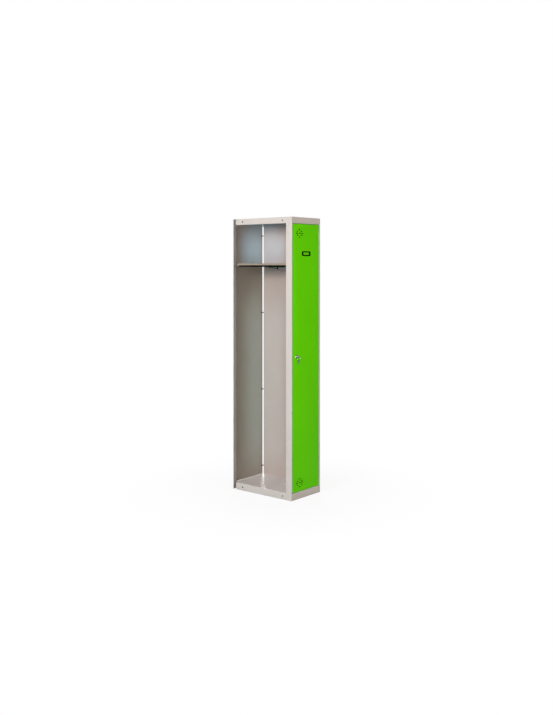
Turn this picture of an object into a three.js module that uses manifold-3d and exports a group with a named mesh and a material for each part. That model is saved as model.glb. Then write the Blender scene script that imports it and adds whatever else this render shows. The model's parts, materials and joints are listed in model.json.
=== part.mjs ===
// School locker, add-on bay: a bent-sheet cabinet that is open on its left side, where it bolts to the
// bay beside it, with one hinged door on the front, a hat shelf, a hanging rail and a cam lock with keys.
//
// Millimetres, +Z up. X runs across the front from the open side (left) to the hinge side (right) and
// Y runs from the front to the back. The exported group is centred on the footprint, on the floor.
import * as THREE from "three";
import { mergeVertices } from "three/addons/utils/BufferGeometryUtils.js";
import Module from "manifold-3d";

const wasm = await Module();
wasm.setup();

// ---- driving dimensions ----
const WIDTH = 300;
const DEPTH = 500;
const HEIGHT = 1800;
const SHEET = 1; // sheet steel thickness
const GAP = 0.3; // clearance between pieces that touch on the real locker

// Cabinet frame
const TOP_RAIL = 40; // height of the skirts round the top panel
const BOTTOM_RAIL = 45; // height of the skirts round the bottom panel
const SKIRT_LIP = 10; // inward lip along a side skirt
const FRONT_LIP = 16; // deeper inward lip along a front skirt, which carries a door pivot
const POST_SIDE = 45; // depth of a front post's side flange
const LATCH_FACE = 9; // width of the left post's front face
const HINGE_FACE = 13; // width of the right post's front face
const JAMB = 20; // how far a post's jamb runs back beside the door
const STOP = 12; // width of the stop lip that the lock cam catches
const REAR_POST = 28; // width of the rear left post
const SKIRT_REAR = 25; // the left skirts stop this far short of the back, which shows the rear post's face
const SIDE_PANEL_REAR = 487; // the side panel stops short of the back, which leaves an open corner
const STRAP = { height: 6, sideReach: 12, backReach: 14 }; // ties across the open corner
const FIXING_HEIGHTS = [105, 635.5, 1166, 1696.5];
const FIXING_Y = 27;
const FIXING_RADIUS = 2.3;
const RIVET = { head: 4, rise: 1.4, shank: 2, sideGrip: 2, rearGrip: 3 };
const BOLT_HOLE = { radius: 3.5, fromFront: 74, fromBack: 84 };
const TOP_BOLTS_Z = 1779;
const BOTTOM_BOLTS_Z = 22;

// Shelf and hanging rail
const SHELF = { left: 2, right: 297, front: 25, back: 465, bottom: 1492, top: 1506 };
const SHELF_CLIP = { width: 20, reach: 18, drop: 13 };
const RAIL = { y: 205, endZ: 1494.5, drop: 15.5, inset: 5, width: 10, height: 20, wall: 0.8 };
const SPIGOT = { width: 6.5, height: 13, length: 12, plateWidth: 22, plateHeight: 16 };
const RAIL_CLIP = { x: 104, width: 9, loop: [13.6, 24.6], bore: [11, 21.6], stem: 8 };

// Door
const DOOR = { left: 11, right: 285, bottom: 48, top: 1757, front: 1.5, thickness: 16 };
const DOOR_HEM = 12; // inward hem along the back edge of the door pan
const PIVOT = { x: 275, y: 7.5, pin: 2.9, bore: 3.2, sleeve: 4.5, flange: 6, rim: 1.3, length: 5.5 };
const PIN = { head: 5, headHeight: 3, reach: 11 };
const VENT = { x: 84, lowZ: 102, highZ: 1697, rowPitch: 12.7, height: 5.5 };
const LABEL = { x: 151, z: 1568, width: 88, height: 31, corner: 9, depth: 2.5 };
const LABEL_WINDOW = { width: 60, height: 16, corner: 3 };
const STIFFENER = { left: 158, right: 222, flange: 12, depth: 12, endGap: 42 };
const BUFFER = { radius: 4, heights: [330, 1470] };

// Lock and keys, about the lock's own axis
const LOCK = { x: 53, z: 911, barrel: 9, flange: 11, plug: 6, cam: 8, camReach: 32 };
const LOCK_NUT = { radius: 14, thickness: 4 };
const CAM_SCREW = { head: 5, rise: 2.5, shank: 1.8, bore: 2.1, depth: 5.4 };
const KEY = { bow: 8, hole: 3.2, thickness: 1.8, blade: 7, length: 22.5, fromDoor: 9.5 };
const KEY_CUTS = [[21, 1], [19.5, 2.5], [18, 0], [16, 2], [14, 0], [12, 1.5], [10, 0]]; // [station, depth]
const RING = { radius: 14.5, wire: 0.8 };

const ROUND_SIDES = 24;
const WELD = 1e-4; // vertices closer than this are one

// ---- solids ----
/** A closed geometry as a solid that can be joined and cut. */
function solid(geometry) {
  const bare = geometry.clone();
  bare.deleteAttribute("normal");
  bare.deleteAttribute("uv");
  const merged = mergeVertices(bare, WELD);
  const vertProperties = merged.attributes.position.array;
  const triVerts = new Uint32Array(merged.index.array);
  return new wasm.Manifold(new wasm.Mesh({ numProp: 3, vertProperties, triVerts }));
}

/** A solid as a geometry with flat shading. */
function geometryOf(body) {
  const mesh = body.getMesh();
  const points = new Float32Array(mesh.numVert * 3);
  for (let i = 0; i < mesh.numVert; i++) {
    points.set(mesh.vertProperties.subarray(i * mesh.numProp, i * mesh.numProp + 3), i * 3);
  }
  const indexed = new THREE.BufferGeometry();
  indexed.setAttribute("position", new THREE.BufferAttribute(points, 3));
  indexed.setIndex(new THREE.BufferAttribute(mesh.triVerts, 1));
  const geometry = indexed.toNonIndexed();
  geometry.computeVertexNormals();
  return geometry;
}

/** All the given solids joined into one. */
function join(...bodies) {
  return bodies.reduce((whole, body) => whole.add(body));
}

/** The first solid with all the others cut from it. */
function cut(body, ...tools) {
  return tools.reduce((rest, tool) => rest.subtract(tool), body);
}

/** A block between two stations on each axis. */
function block([x0, x1], [y0, y1], [z0, z1]) {
  const geometry = new THREE.BoxGeometry(x1 - x0, y1 - y0, z1 - z0);
  geometry.translate((x0 + x1) / 2, (y0 + y1) / 2, (z0 + z1) / 2);
  return solid(geometry);
}

/** A round bar from one station to another along an axis through a point. */
function bar(axis, radius, from, to, [x, y, z], sides = ROUND_SIDES) {
  const geometry = new THREE.CylinderGeometry(radius, radius, to - from, sides);
  geometry.translate(0, (from + to) / 2, 0);
  if (axis === "x") geometry.rotateZ(-Math.PI / 2);
  if (axis === "z") geometry.rotateX(Math.PI / 2);
  geometry.translate(x, y, z);
  return solid(geometry);
}

/** A ring or stepped sleeve: a profile of [radius, height] points turned about +Z at a point. */
function turned(profile, [x, y, z]) {
  const points = profile.map(([radius, height]) => new THREE.Vector2(radius, height));
  const geometry = new THREE.LatheGeometry([...points, points[0]], ROUND_SIDES);
  geometry.rotateX(Math.PI / 2);
  geometry.translate(x, y, z);
  return solid(geometry);
}

/** A shape drawn in X and Y, extruded up from one height to another. */
function column(shape, bottom, top) {
  const geometry = new THREE.ExtrudeGeometry(shape, { depth: top - bottom, bevelEnabled: false });
  geometry.translate(0, 0, bottom);
  return solid(geometry);
}

/** A shape drawn in X and Z, extruded back from one depth to another. */
function facePlate(shape, front, back, segments = 5) {
  const depth = back - front;
  const geometry = new THREE.ExtrudeGeometry(shape, { depth, bevelEnabled: false, curveSegments: segments });
  geometry.rotateX(Math.PI / 2);
  geometry.translate(0, back, 0);
  return solid(geometry);
}

/** A shape drawn in Y and Z, extruded sideways and centred on a station in X. */
function sidePlate(shape, thickness, x) {
  const options = { depth: thickness, bevelEnabled: false, curveSegments: 10 };
  const geometry = new THREE.ExtrudeGeometry(shape, options);
  const across = new THREE.Matrix4().makeBasis(
    new THREE.Vector3(0, 1, 0),
    new THREE.Vector3(0, 0, 1),
    new THREE.Vector3(1, 0, 0),
  );
  geometry.applyMatrix4(across);
  geometry.translate(x - thickness / 2, 0, 0);
  return solid(geometry);
}

/** A closed shape through the given corners. */
function polygon(corners) {
  return new THREE.Shape(corners.map(([u, v]) => new THREE.Vector2(u, v)));
}

/** A rectangle with round corners about a centre. */
function roundedRectangle(u, v, width, height, radius) {
  const shape = new THREE.Shape();
  const right = u + width / 2 - radius;
  const left = u - width / 2 + radius;
  const top = v + height / 2 - radius;
  const bottom = v - height / 2 + radius;
  shape.absarc(right, bottom, radius, -Math.PI / 2, 0, false);
  shape.absarc(right, top, radius, 0, Math.PI / 2, false);
  shape.absarc(left, top, radius, Math.PI / 2, Math.PI, false);
  shape.absarc(left, bottom, radius, Math.PI, 1.5 * Math.PI, false);
  shape.closePath();
  return shape;
}

// ---- materials and nodes ----
const FINISHES = {
  framePaint: { color: 0xd5cbc3, roughness: 0.42, metalness: 0.0 },
  doorPaint: { color: 0x58b708, roughness: 0.4, metalness: 0.0 },
  steel: { color: 0xb9bcc0, roughness: 0.3, metalness: 1.0 },
  chrome: { color: 0xd8dce0, roughness: 0.12, metalness: 1.0 },
  blackSteel: { color: 0x2c2a28, roughness: 0.5, metalness: 0.6 },
  blackPlastic: { color: 0x16161a, roughness: 0.45, metalness: 0.0 },
  nylon: { color: 0xe6e2d6, roughness: 0.5, metalness: 0.0 },
  rubber: { color: 0x2a2a2c, roughness: 0.8, metalness: 0.0 },
};

/** A named mesh of one solid with a material of its own. */
function piece(name, body, finish) {
  const mesh = new THREE.Mesh(geometryOf(body), new THREE.MeshStandardMaterial(FINISHES[finish]));
  mesh.name = name;
  return mesh;
}

/** A group at a point that holds the given pieces. */
function groupAt(x, y, z, ...children) {
  const group = new THREE.Group();
  group.position.set(x, y, z);
  group.add(...children);
  return group;
}

// ---- cabinet ----
const POST_TOP = HEIGHT - SHEET - GAP; // posts and panels stand under the top panel's sheet
const FRONT_EDGE = POST_SIDE + GAP; // side skirts start behind the front posts
const REAR_EDGE = DEPTH - SKIRT_REAR - GAP;
const BACK_PANEL_FRONT = DEPTH - SHEET - GAP - SHEET;
const REAR_WEB_FRONT = BACK_PANEL_FRONT - GAP - SHEET;
const SIDE_PANEL_LEFT = WIDTH - SHEET - GAP - SHEET;
const SKIRT_LEFT = LATCH_FACE + GAP;
const SKIRT_RIGHT = WIDTH - HINGE_FACE - GAP;

/** A panel with skirts folded down on four sides and lips along the front and left skirts. */
function skirtedPan(top, skirt) {
  const foot = top - skirt;
  const sheetZ = [top - SHEET, top];
  const skirtZ = [foot, top];
  const lipZ = [foot, foot + SHEET];
  return join(
    block([SHEET + GAP, WIDTH - SHEET - GAP], [SHEET + GAP, REAR_WEB_FRONT - GAP], sheetZ),
    block([0, WIDTH], [FRONT_EDGE, REAR_EDGE], sheetZ),
    block([SKIRT_LEFT, SKIRT_RIGHT], [0, POST_SIDE], sheetZ),
    block([REAR_POST + GAP, WIDTH], [REAR_EDGE - SHEET, DEPTH], sheetZ),
    block([0, SHEET], [FRONT_EDGE, REAR_EDGE], skirtZ),
    block([SKIRT_LEFT, SKIRT_RIGHT], [0, SHEET], skirtZ),
    block([WIDTH - SHEET, WIDTH], [FRONT_EDGE, DEPTH], skirtZ),
    block([SHEET + GAP, WIDTH], [DEPTH - SHEET, DEPTH], skirtZ),
    block([0, SKIRT_LIP], [FRONT_EDGE, REAR_EDGE], lipZ),
    block([SKIRT_LEFT, SKIRT_RIGHT], [0, FRONT_LIP], lipZ),
  );
}

/** The two bolt holes through a left skirt. */
function skirtBoltHoles(z) {
  return [BOLT_HOLE.fromFront, DEPTH - BOLT_HOLE.fromBack].map((y) =>
    bar("x", BOLT_HOLE.radius, -1, SHEET + 1, [0, y, z]),
  );
}

/** The hole that a hinge bush's sleeve sits in. */
function bushSeat(from, to) {
  return bar("z", PIVOT.sleeve + GAP, from, to, [PIVOT.x, PIVOT.y, 0]);
}

function topPanel() {
  const cover = block([0, WIDTH], [0, DEPTH], [HEIGHT - SHEET, HEIGHT]);
  const lipZ = HEIGHT - TOP_RAIL;
  return cut(
    join(skirtedPan(HEIGHT, TOP_RAIL), cover),
    ...skirtBoltHoles(TOP_BOLTS_Z),
    bushSeat(lipZ - 1, lipZ + 2),
  );
}

/** The floor is notched at the rear left corner, so the rear post's face runs down to the ground. */
function bottomPanel() {
  const rightLip = block([WIDTH - SKIRT_LIP, WIDTH], [FRONT_EDGE, DEPTH], [0, SHEET]);
  const rearLip = block([REAR_POST + GAP, WIDTH], [DEPTH - SKIRT_LIP, DEPTH], [0, SHEET]);
  const postNotch = block([-1, REAR_POST + GAP], [REAR_EDGE, DEPTH + 1], [-1, BOTTOM_RAIL + 1]);
  return cut(
    join(skirtedPan(BOTTOM_RAIL, BOTTOM_RAIL), rightLip, rearLip),
    postNotch,
    ...skirtBoltHoles(BOTTOM_BOLTS_Z),
    bushSeat(BOTTOM_RAIL - 2, BOTTOM_RAIL + 1),
  );
}

/** Plan outline of a front post as [distance in from the side, distance from the front] corners. */
function postOutline(face, stop) {
  const t = SHEET;
  const plainEnd = [[face, JAMB], [face - t, JAMB]];
  const stopEnd = [[face, JAMB], [face + stop, JAMB], [face + stop, JAMB + t], [face - t, JAMB + t]];
  const jambEnd = stop ? stopEnd : plainEnd;
  return [[0, POST_SIDE], [0, 0], [face, 0], ...jambEnd, [face - t, t], [t, t], [t, POST_SIDE]];
}

/** A front post: a corner angle over the whole height, with a door jamb between the two rails. */
function frontPost(face, stop, place) {
  const t = SHEET;
  const angle = [[0, POST_SIDE], [0, 0], [face, 0], [face, t], [t, t], [t, POST_SIDE]];
  return join(
    column(polygon(angle.map(place)), 0, POST_TOP),
    column(polygon(postOutline(face, stop).map(place)), BOTTOM_RAIL + 1, HEIGHT - TOP_RAIL - 0.5),
  );
}

/** Fixing holes through a side face at every fixing height. */
function sideFixingHoles(from, to) {
  return FIXING_HEIGHTS.map((z) => bar("x", FIXING_RADIUS, from, to, [0, FIXING_Y, z], 16));
}

function leftPost() {
  return cut(frontPost(LATCH_FACE, STOP, (corner) => corner), ...sideFixingHoles(-1, SHEET + 1));
}

function rightPost() {
  const mirrored = ([u, v]) => [WIDTH - u, v];
  return cut(frontPost(HINGE_FACE, 0, mirrored), ...sideFixingHoles(WIDTH - SHEET - 1, WIDTH + 1));
}

/** The rear left post, a flat web with a return at its outer edge. */
function rearPost() {
  const height = [0, POST_TOP];
  const web = block([0, REAR_POST], [REAR_WEB_FRONT, REAR_WEB_FRONT + SHEET], height);
  const edge = block([0, SHEET], [REAR_WEB_FRONT, DEPTH], height);
  return cut(join(web, edge), ...rearFixingHoles());
}

const REAR_FIXING_X = REAR_POST / 2;

/** Holes through the rear post and the back panel for the rivets that join them. */
function rearFixingHoles() {
  const front = REAR_WEB_FRONT - 1;
  return FIXING_HEIGHTS.map((z) => bar("y", FIXING_RADIUS, front, DEPTH + 1, [REAR_FIXING_X, 0, z], 16));
}

function backPanel() {
  const sheet = block(
    [SHEET + GAP, SIDE_PANEL_LEFT - GAP],
    [BACK_PANEL_FRONT, BACK_PANEL_FRONT + SHEET],
    [BOTTOM_RAIL + 1, POST_TOP],
  );
  return cut(sheet, ...rearFixingHoles());
}

function rightSidePanel() {
  const sheet = block(
    [SIDE_PANEL_LEFT, SIDE_PANEL_LEFT + SHEET],
    [SHEET + 2, SIDE_PANEL_REAR],
    [BOTTOM_RAIL + GAP, POST_TOP],
  );
  return cut(sheet, ...sideFixingHoles(SIDE_PANEL_LEFT - 1, WIDTH));
}

/** A strap that holds the side panel to the back panel across the open rear corner. */
function cornerStrap(z) {
  const height = [z - STRAP.height / 2, z + STRAP.height / 2];
  const back = REAR_WEB_FRONT + SHEET;
  return join(
    block([WIDTH - SHEET, WIDTH], [SIDE_PANEL_REAR - STRAP.sideReach, back], height),
    block([SIDE_PANEL_LEFT - STRAP.backReach, WIDTH], [REAR_WEB_FRONT, back], height),
  );
}

/** A blind rivet on +Y through the origin: a domed head in front and a shank behind. */
function rivet(grip) {
  const { head, rise, shank } = RIVET;
  const dome = [[0, 0], [head, 0], [head * 0.9, rise * 0.5], [head * 0.55, rise * 0.9], [0, rise]];
  const points = dome.map(([radius, height]) => new THREE.Vector2(radius, height));
  const geometry = new THREE.LatheGeometry(points, 20);
  geometry.rotateX(Math.PI);
  return join(solid(geometry), bar("y", shank, -rise / 4, grip, [0, 0, 0], 16));
}

function rearRivets() {
  return FIXING_HEIGHTS.map((z, index) => {
    const mesh = piece(`rear_post_rivet_${index + 1}`, rivet(RIVET.rearGrip), "steel");
    mesh.position.set(REAR_FIXING_X, REAR_WEB_FRONT - GAP, z);
    return mesh;
  });
}

function sideRivets() {
  return FIXING_HEIGHTS.map((z, index) => {
    const mesh = piece(`side_panel_rivet_${index + 1}`, rivet(RIVET.sideGrip), "steel");
    mesh.position.set(SIDE_PANEL_LEFT - GAP, FIXING_Y, z);
    mesh.rotation.z = -Math.PI / 2;
    return mesh;
  });
}

function cornerStraps() {
  return FIXING_HEIGHTS.map((z, index) => piece(`corner_strap_${index + 1}`, cornerStrap(z), "blackSteel"));
}

// ---- shelf and hanging rail ----
function shelf() {
  const { left, right, front, back, bottom, top } = SHELF;
  return cut(
    block([left, right], [front, back], [bottom, top]),
    block([left + SHEET, right - SHEET], [front + SHEET, back - SHEET], [bottom - 1, top - SHEET]),
  );
}

/** An angle bracket whose upright sits on a face and whose arm holds the shelf up. */
function shelfClip(upright, arm) {
  const armTop = SHELF.bottom - GAP;
  return join(
    block(upright.x, upright.y, [armTop - SHELF_CLIP.drop, armTop]),
    block(arm.x, arm.y, [armTop - SHEET, armTop]),
  );
}

function shelfClips() {
  const { width, reach } = SHELF_CLIP;
  const leftFace = [SHEET + GAP, SHEET + GAP + SHEET];
  const rightFace = [SIDE_PANEL_LEFT - GAP - SHEET, SIDE_PANEL_LEFT - GAP];
  const rearFace = [REAR_WEB_FRONT - GAP - SHEET, REAR_WEB_FRONT - GAP];
  const frontY = [SHELF.front - 2, SHELF.front - 2 + width];
  const rearY = [SHELF.back - width, SHELF.back];
  const leftArm = [leftFace[0], leftFace[0] + reach];
  const rightArm = [rightFace[1] - reach, rightFace[1]];
  const rearX = [4, 4 + width];
  const rearArm = [SHELF.back - reach, rearFace[1]];
  const clips = {
    front_left: shelfClip({ x: leftFace, y: frontY }, { x: leftArm, y: frontY }),
    front_right: shelfClip({ x: rightFace, y: frontY }, { x: rightArm, y: frontY }),
    rear_left: shelfClip({ x: rearX, y: rearFace }, { x: rearX, y: rearArm }),
    rear_right: shelfClip({ x: rightFace, y: rearY }, { x: rightArm, y: rearY }),
  };
  return Object.entries(clips).map(([corner, clip]) => piece(`shelf_clip_${corner}`, clip, "steel"));
}

const RAIL_LEFT = SHELF.left + RAIL.inset;
const RAIL_RIGHT = SHELF.right - RAIL.inset;

/** The rail's centre line: a shallow arc that hangs lowest halfway across. */
class RailArc extends THREE.Curve {
  getPoint(t) {
    const x = RAIL_LEFT + t * (RAIL_RIGHT - RAIL_LEFT);
    const fromMiddle = 2 * t - 1;
    return new THREE.Vector3(x, RAIL.y, RAIL.endZ - RAIL.drop * (1 - fromMiddle ** 2));
  }
}

/** An oval section centred on a path, as [width, height]. */
function oval(width, height) {
  const shape = new THREE.Shape();
  shape.absellipse(0, 0, width / 2, height / 2, 0, 2 * Math.PI, false);
  return shape;
}

function ovalBar(width, height, path, steps) {
  const options = { extrudePath: path, steps, curveSegments: 8 };
  return solid(new THREE.ExtrudeGeometry(oval(width, height), options));
}

/** The rail is an oval tube, open at both ends, which are cut square to the shelf. */
function hangingRail() {
  const path = new RailArc();
  const steps = 14;
  const outer = ovalBar(RAIL.width, RAIL.height, path, steps);
  const bore = ovalBar(RAIL.width - 2 * RAIL.wall, RAIL.height - 2 * RAIL.wall, path, steps);
  const past = RAIL.height;
  const mouths = [[RAIL_LEFT - past, RAIL_LEFT + 0.1], [RAIL_RIGHT - 0.1, RAIL_RIGHT + past]].map((x) =>
    block(x, [RAIL.y - past, RAIL.y + past], [RAIL.endZ - past, RAIL.endZ + past]),
  );
  return cut(outer, bore, ...mouths);
}

/** An end bracket: a plate on the inside of the shelf's lip with a spigot in the rail's end. */
function railBracket(side) {
  const lip = side < 0 ? SHELF.left + SHEET + GAP : SHELF.right - SHEET - GAP;
  const plateEnd = lip - side * 1.4;
  const spigotEnd = lip - side * SPIGOT.length;
  const plateTop = SHELF.top - SHEET - GAP;
  const plate = block(
    [Math.min(lip, plateEnd), Math.max(lip, plateEnd)],
    [RAIL.y - SPIGOT.plateWidth / 2, RAIL.y + SPIGOT.plateWidth / 2],
    [plateTop - SPIGOT.plateHeight, plateTop],
  );
  const spigot = sidePlate(oval(SPIGOT.width, SPIGOT.height), SPIGOT.length, (lip + spigotEnd) / 2);
  return join(plate, spigot.translate([0, RAIL.y, RAIL.endZ]));
}

/** A plastic saddle that ties the rail to the shelf partway across. */
function railClip() {
  const { x, width, loop, bore, stem } = RAIL_CLIP;
  const centre = new RailArc().getPoint((x - RAIL_LEFT) / (RAIL_RIGHT - RAIL_LEFT)).z;
  const saddle = sidePlate(oval(...loop), width, x).translate([0, RAIL.y, centre]);
  const hollow = sidePlate(oval(...bore), width + 2, x).translate([0, RAIL.y, centre]);
  const stemZ = [centre + loop[1] / 2 - 1, SHELF.top - SHEET - GAP];
  const post = block([x - width / 2, x + width / 2], [RAIL.y - stem / 2, RAIL.y + stem / 2], stemZ);
  return join(cut(saddle, hollow), post);
}

// ---- hinges ----
/** A flanged bush on the pivot axis: its flange faces the door and its sleeve fills the bush seat. */
function hingeBush(flangeZ, towardDoor) {
  const { bore, sleeve, flange, rim, length } = PIVOT;
  const profile = [[bore, 0], [flange, 0], [flange, rim], [sleeve, rim], [sleeve, length], [bore, length]];
  const turnedAt = profile.map(([radius, height]) => [radius, -towardDoor * height]);
  const ordered = towardDoor < 0 ? turnedAt : [...turnedAt].reverse();
  return turned(ordered, [PIVOT.x, PIVOT.y, flangeZ]);
}

/** A pivot pin with its head inside the door and its shank in a bush, pointing up or down. */
function hingePin(headFace, towardFrame) {
  const shankStart = headFace - towardFrame;
  const shankEnd = headFace + towardFrame * PIN.reach;
  const headEnd = headFace - towardFrame * PIN.headHeight;
  const axis = [PIVOT.x, PIVOT.y, 0];
  return join(
    bar("z", PIVOT.pin, Math.min(shankStart, shankEnd), Math.max(shankStart, shankEnd), axis),
    bar("z", PIN.head, Math.min(headFace, headEnd), Math.max(headFace, headEnd), axis),
  );
}

// ---- door ----
/** One row of a vent: how many slots, how long they are and how far apart. */
const VENT_ROWS = [
  { row: -2, count: 1, length: 18, pitch: 0 },
  { row: -1, count: 2, length: 18, pitch: 40 },
  { row: 0, count: 3, length: 21, pitch: 27 },
  { row: 1, count: 2, length: 18, pitch: 40 },
  { row: 2, count: 1, length: 18, pitch: 0 },
];

/** The slots of one vent, set out as a diamond. */
function ventSlots(centreZ) {
  return VENT_ROWS.flatMap(({ row, count, length, pitch }) =>
    Array.from({ length: count }, (_, index) => {
      const x = VENT.x + (index - (count - 1) / 2) * pitch;
      const z = centreZ + row * VENT.rowPitch;
      const slot = roundedRectangle(x, z, length, VENT.height, VENT.height / 2 - 0.01);
      return facePlate(slot, DOOR.front - 1, DOOR.front + SHEET + 1, 3);
    }),
  );
}

function doorSkin() {
  const { left, right, bottom, top, front, thickness } = DOOR;
  const back = front + thickness;
  const outer = block([left, right], [front, back], [bottom, top]);
  const pocket = block(
    [left + SHEET, right - SHEET],
    [front + SHEET, back - SHEET],
    [bottom + SHEET, top - SHEET],
  );
  const mouth = block(
    [left + DOOR_HEM, right - DOOR_HEM],
    [back - SHEET - 1, back + 1],
    [bottom + DOOR_HEM, top - DOOR_HEM],
  );
  const pinHole = (z) => bar("z", PIVOT.pin + GAP, z - 2, z + 2, [PIVOT.x, PIVOT.y, 0]);
  const lockHole = bar("y", LOCK.barrel + 0.4, front - 1, front + SHEET + 1, [LOCK.x, 0, LOCK.z]);
  return cut(
    outer, pocket, mouth, lockHole,
    pinHole(bottom), pinHole(top),
    ...ventSlots(VENT.lowZ), ...ventSlots(VENT.highZ),
  );
}

/** A hat-section rib spot-welded inside the door. */
function doorStiffener() {
  const { left, right, flange, depth, endGap } = STIFFENER;
  const t = SHEET;
  const near = DOOR.front + t + GAP;
  const far = near + depth;
  const hat = [
    [left, near], [left + flange + t, near], [left + flange + t, far - t], [right - flange - t, far - t],
    [right - flange - t, near], [right, near], [right, near + t], [right - flange, near + t],
    [right - flange, far], [left + flange, far], [left + flange, near + t], [left, near + t],
  ];
  return column(polygon(hat), DOOR.bottom + endGap, DOOR.top - endGap);
}

/** A frame for a name card, open at the front and at the back. */
function labelHolder() {
  const { x, z, width, height, corner, depth } = LABEL;
  const window = LABEL_WINDOW;
  const back = DOOR.front - GAP;
  return cut(
    facePlate(roundedRectangle(x, z, width, height, corner), back - depth, back),
    facePlate(roundedRectangle(x, z, window.width, window.height, window.corner), back - depth - 1, back + 1),
  );
}

/** A rubber stop on the latch lip that the closed door rests against. */
function doorBuffer(z) {
  const front = DOOR.front + DOOR.thickness + GAP;
  return bar("y", BUFFER.radius, front, JAMB - GAP, [LATCH_FACE + STOP / 2, 0, z], 20);
}

// ---- lock, in its own frame: the lock's axis is Y, and Y = 0 is the cabinet's front plane ----
const BARREL_BACK = 20;
const CAM_FRONT = 21.9;
const CAM_THICKNESS = 2;
const CAM_SQUARE = 3.5; // half the width of the plug's square drive
const CAM_TIP = 6;
const PLUG_FACE = -0.9;
const KEYWAY = { depth: 16, halfHeight: 3.8 };

function lockBarrel() {
  const face = DOOR.front - GAP;
  return cut(
    join(
      bar("y", LOCK.flange, face - 2, face, [0, 0, 0]),
      bar("y", LOCK.barrel, face - 1, BARREL_BACK, [0, 0, 0]),
    ),
    bar("y", LOCK.plug + GAP, face - 4, BARREL_BACK + 1, [0, 0, 0]),
  );
}

function lockNut() {
  const front = DOOR.front + SHEET + GAP;
  const back = front + LOCK_NUT.thickness;
  return cut(
    bar("y", LOCK_NUT.radius, front, back, [0, 0, 0], 6),
    bar("y", LOCK.barrel + GAP, front - 1, back + 1, [0, 0, 0]),
  );
}

function lockPlug() {
  const s = CAM_SQUARE;
  const camBack = CAM_FRONT + CAM_THICKNESS;
  const halfSlot = KEY.thickness / 2 + GAP;
  const { depth, halfHeight } = KEYWAY;
  return cut(
    join(
      bar("y", LOCK.plug, PLUG_FACE, CAM_FRONT - GAP, [0, 0, 0]),
      block([-s, s], [CAM_FRONT - 1, camBack + GAP], [-s, s]),
    ),
    block([-halfSlot, halfSlot], [PLUG_FACE - 1, depth], [-halfHeight, halfHeight]),
    bar("y", CAM_SCREW.bore, camBack - CAM_SCREW.depth - GAP, camBack + 1, [0, 0, 0], 16),
  );
}

/** A flat cam on the plug's square drive. At rest it points up, clear of the latch lip. */
function lockCam() {
  const arm = new THREE.Shape();
  arm.absarc(0, 0, LOCK.cam, Math.PI, 2 * Math.PI, false);
  arm.lineTo(CAM_TIP, LOCK.camReach);
  arm.absarc(0, LOCK.camReach, CAM_TIP, 0, Math.PI, false);
  arm.closePath();
  const s = CAM_SQUARE + GAP;
  return cut(
    facePlate(arm, CAM_FRONT, CAM_FRONT + CAM_THICKNESS, 10),
    block([-s, s], [CAM_FRONT - 1, CAM_FRONT + CAM_THICKNESS + 1], [-s, s]),
  );
}

function camScrew() {
  const camBack = CAM_FRONT + CAM_THICKNESS;
  const head = camBack + 2 * GAP;
  return join(
    bar("y", CAM_SCREW.head, head, head + CAM_SCREW.rise, [0, 0, 0], 20),
    bar("y", CAM_SCREW.shank, camBack - CAM_SCREW.depth, head + 1, [0, 0, 0], 16),
  );
}

/** A flat key in the Y and Z plane: its bow's hole is at the origin and its blade points along +Y. */
function flatKey() {
  const bow = new THREE.Shape();
  bow.absarc(0, 0, KEY.bow, 0, 2 * Math.PI, false);
  const half = KEY.blade / 2;
  const start = KEY.bow / 2;
  const nose = 1.5;
  const cuts = KEY_CUTS.map(([station, depth]) => [station, half - depth]);
  const underside = [[start, -half], [KEY.length - nose, -half], [KEY.length, nose - half]];
  const blade = [...underside, ...cuts, [start, half]];
  return cut(
    join(sidePlate(bow, KEY.thickness, 0), sidePlate(polygon(blade), KEY.thickness, 0)),
    bar("x", KEY.hole, -KEY.thickness, KEY.thickness, [0, 0, 0]),
  );
}

/** The ring's centre is this far down and to the right of the bow's hole, so it crosses the bow aslant. */
const RING_OFFSET = RING.radius * Math.SQRT1_2;

function keyRing() {
  const geometry = new THREE.TorusGeometry(RING.radius, RING.wire, 8, 32);
  geometry.rotateX(Math.PI / 2);
  return piece("key_ring", solid(geometry), "steel");
}

/** The spare key hangs from the ring's lowest point, blade down. */
function spareKey() {
  const mesh = piece("spare_key", flatKey(), "steel");
  mesh.rotation.x = -Math.PI / 2;
  return mesh;
}

function lockGroup() {
  const keyY = -KEY.fromDoor;
  const slack = KEY.hole - RING.wire - 0.5;
  const spare = groupAt(0, 0, -RING.radius - slack, spareKey());
  const ring = groupAt(RING_OFFSET, 0, -RING_OFFSET, keyRing(), spare);
  return groupAt(LOCK.x, 0, LOCK.z,
    piece("lock_barrel", lockBarrel(), "chrome"),
    piece("lock_nut", lockNut(), "steel"),
    piece("lock_plug", lockPlug(), "chrome"),
    piece("lock_cam", lockCam(), "steel"),
    piece("cam_screw", camScrew(), "steel"),
    groupAt(0, keyY, 0, piece("key", flatKey(), "steel"), ring),
  );
}

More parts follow.
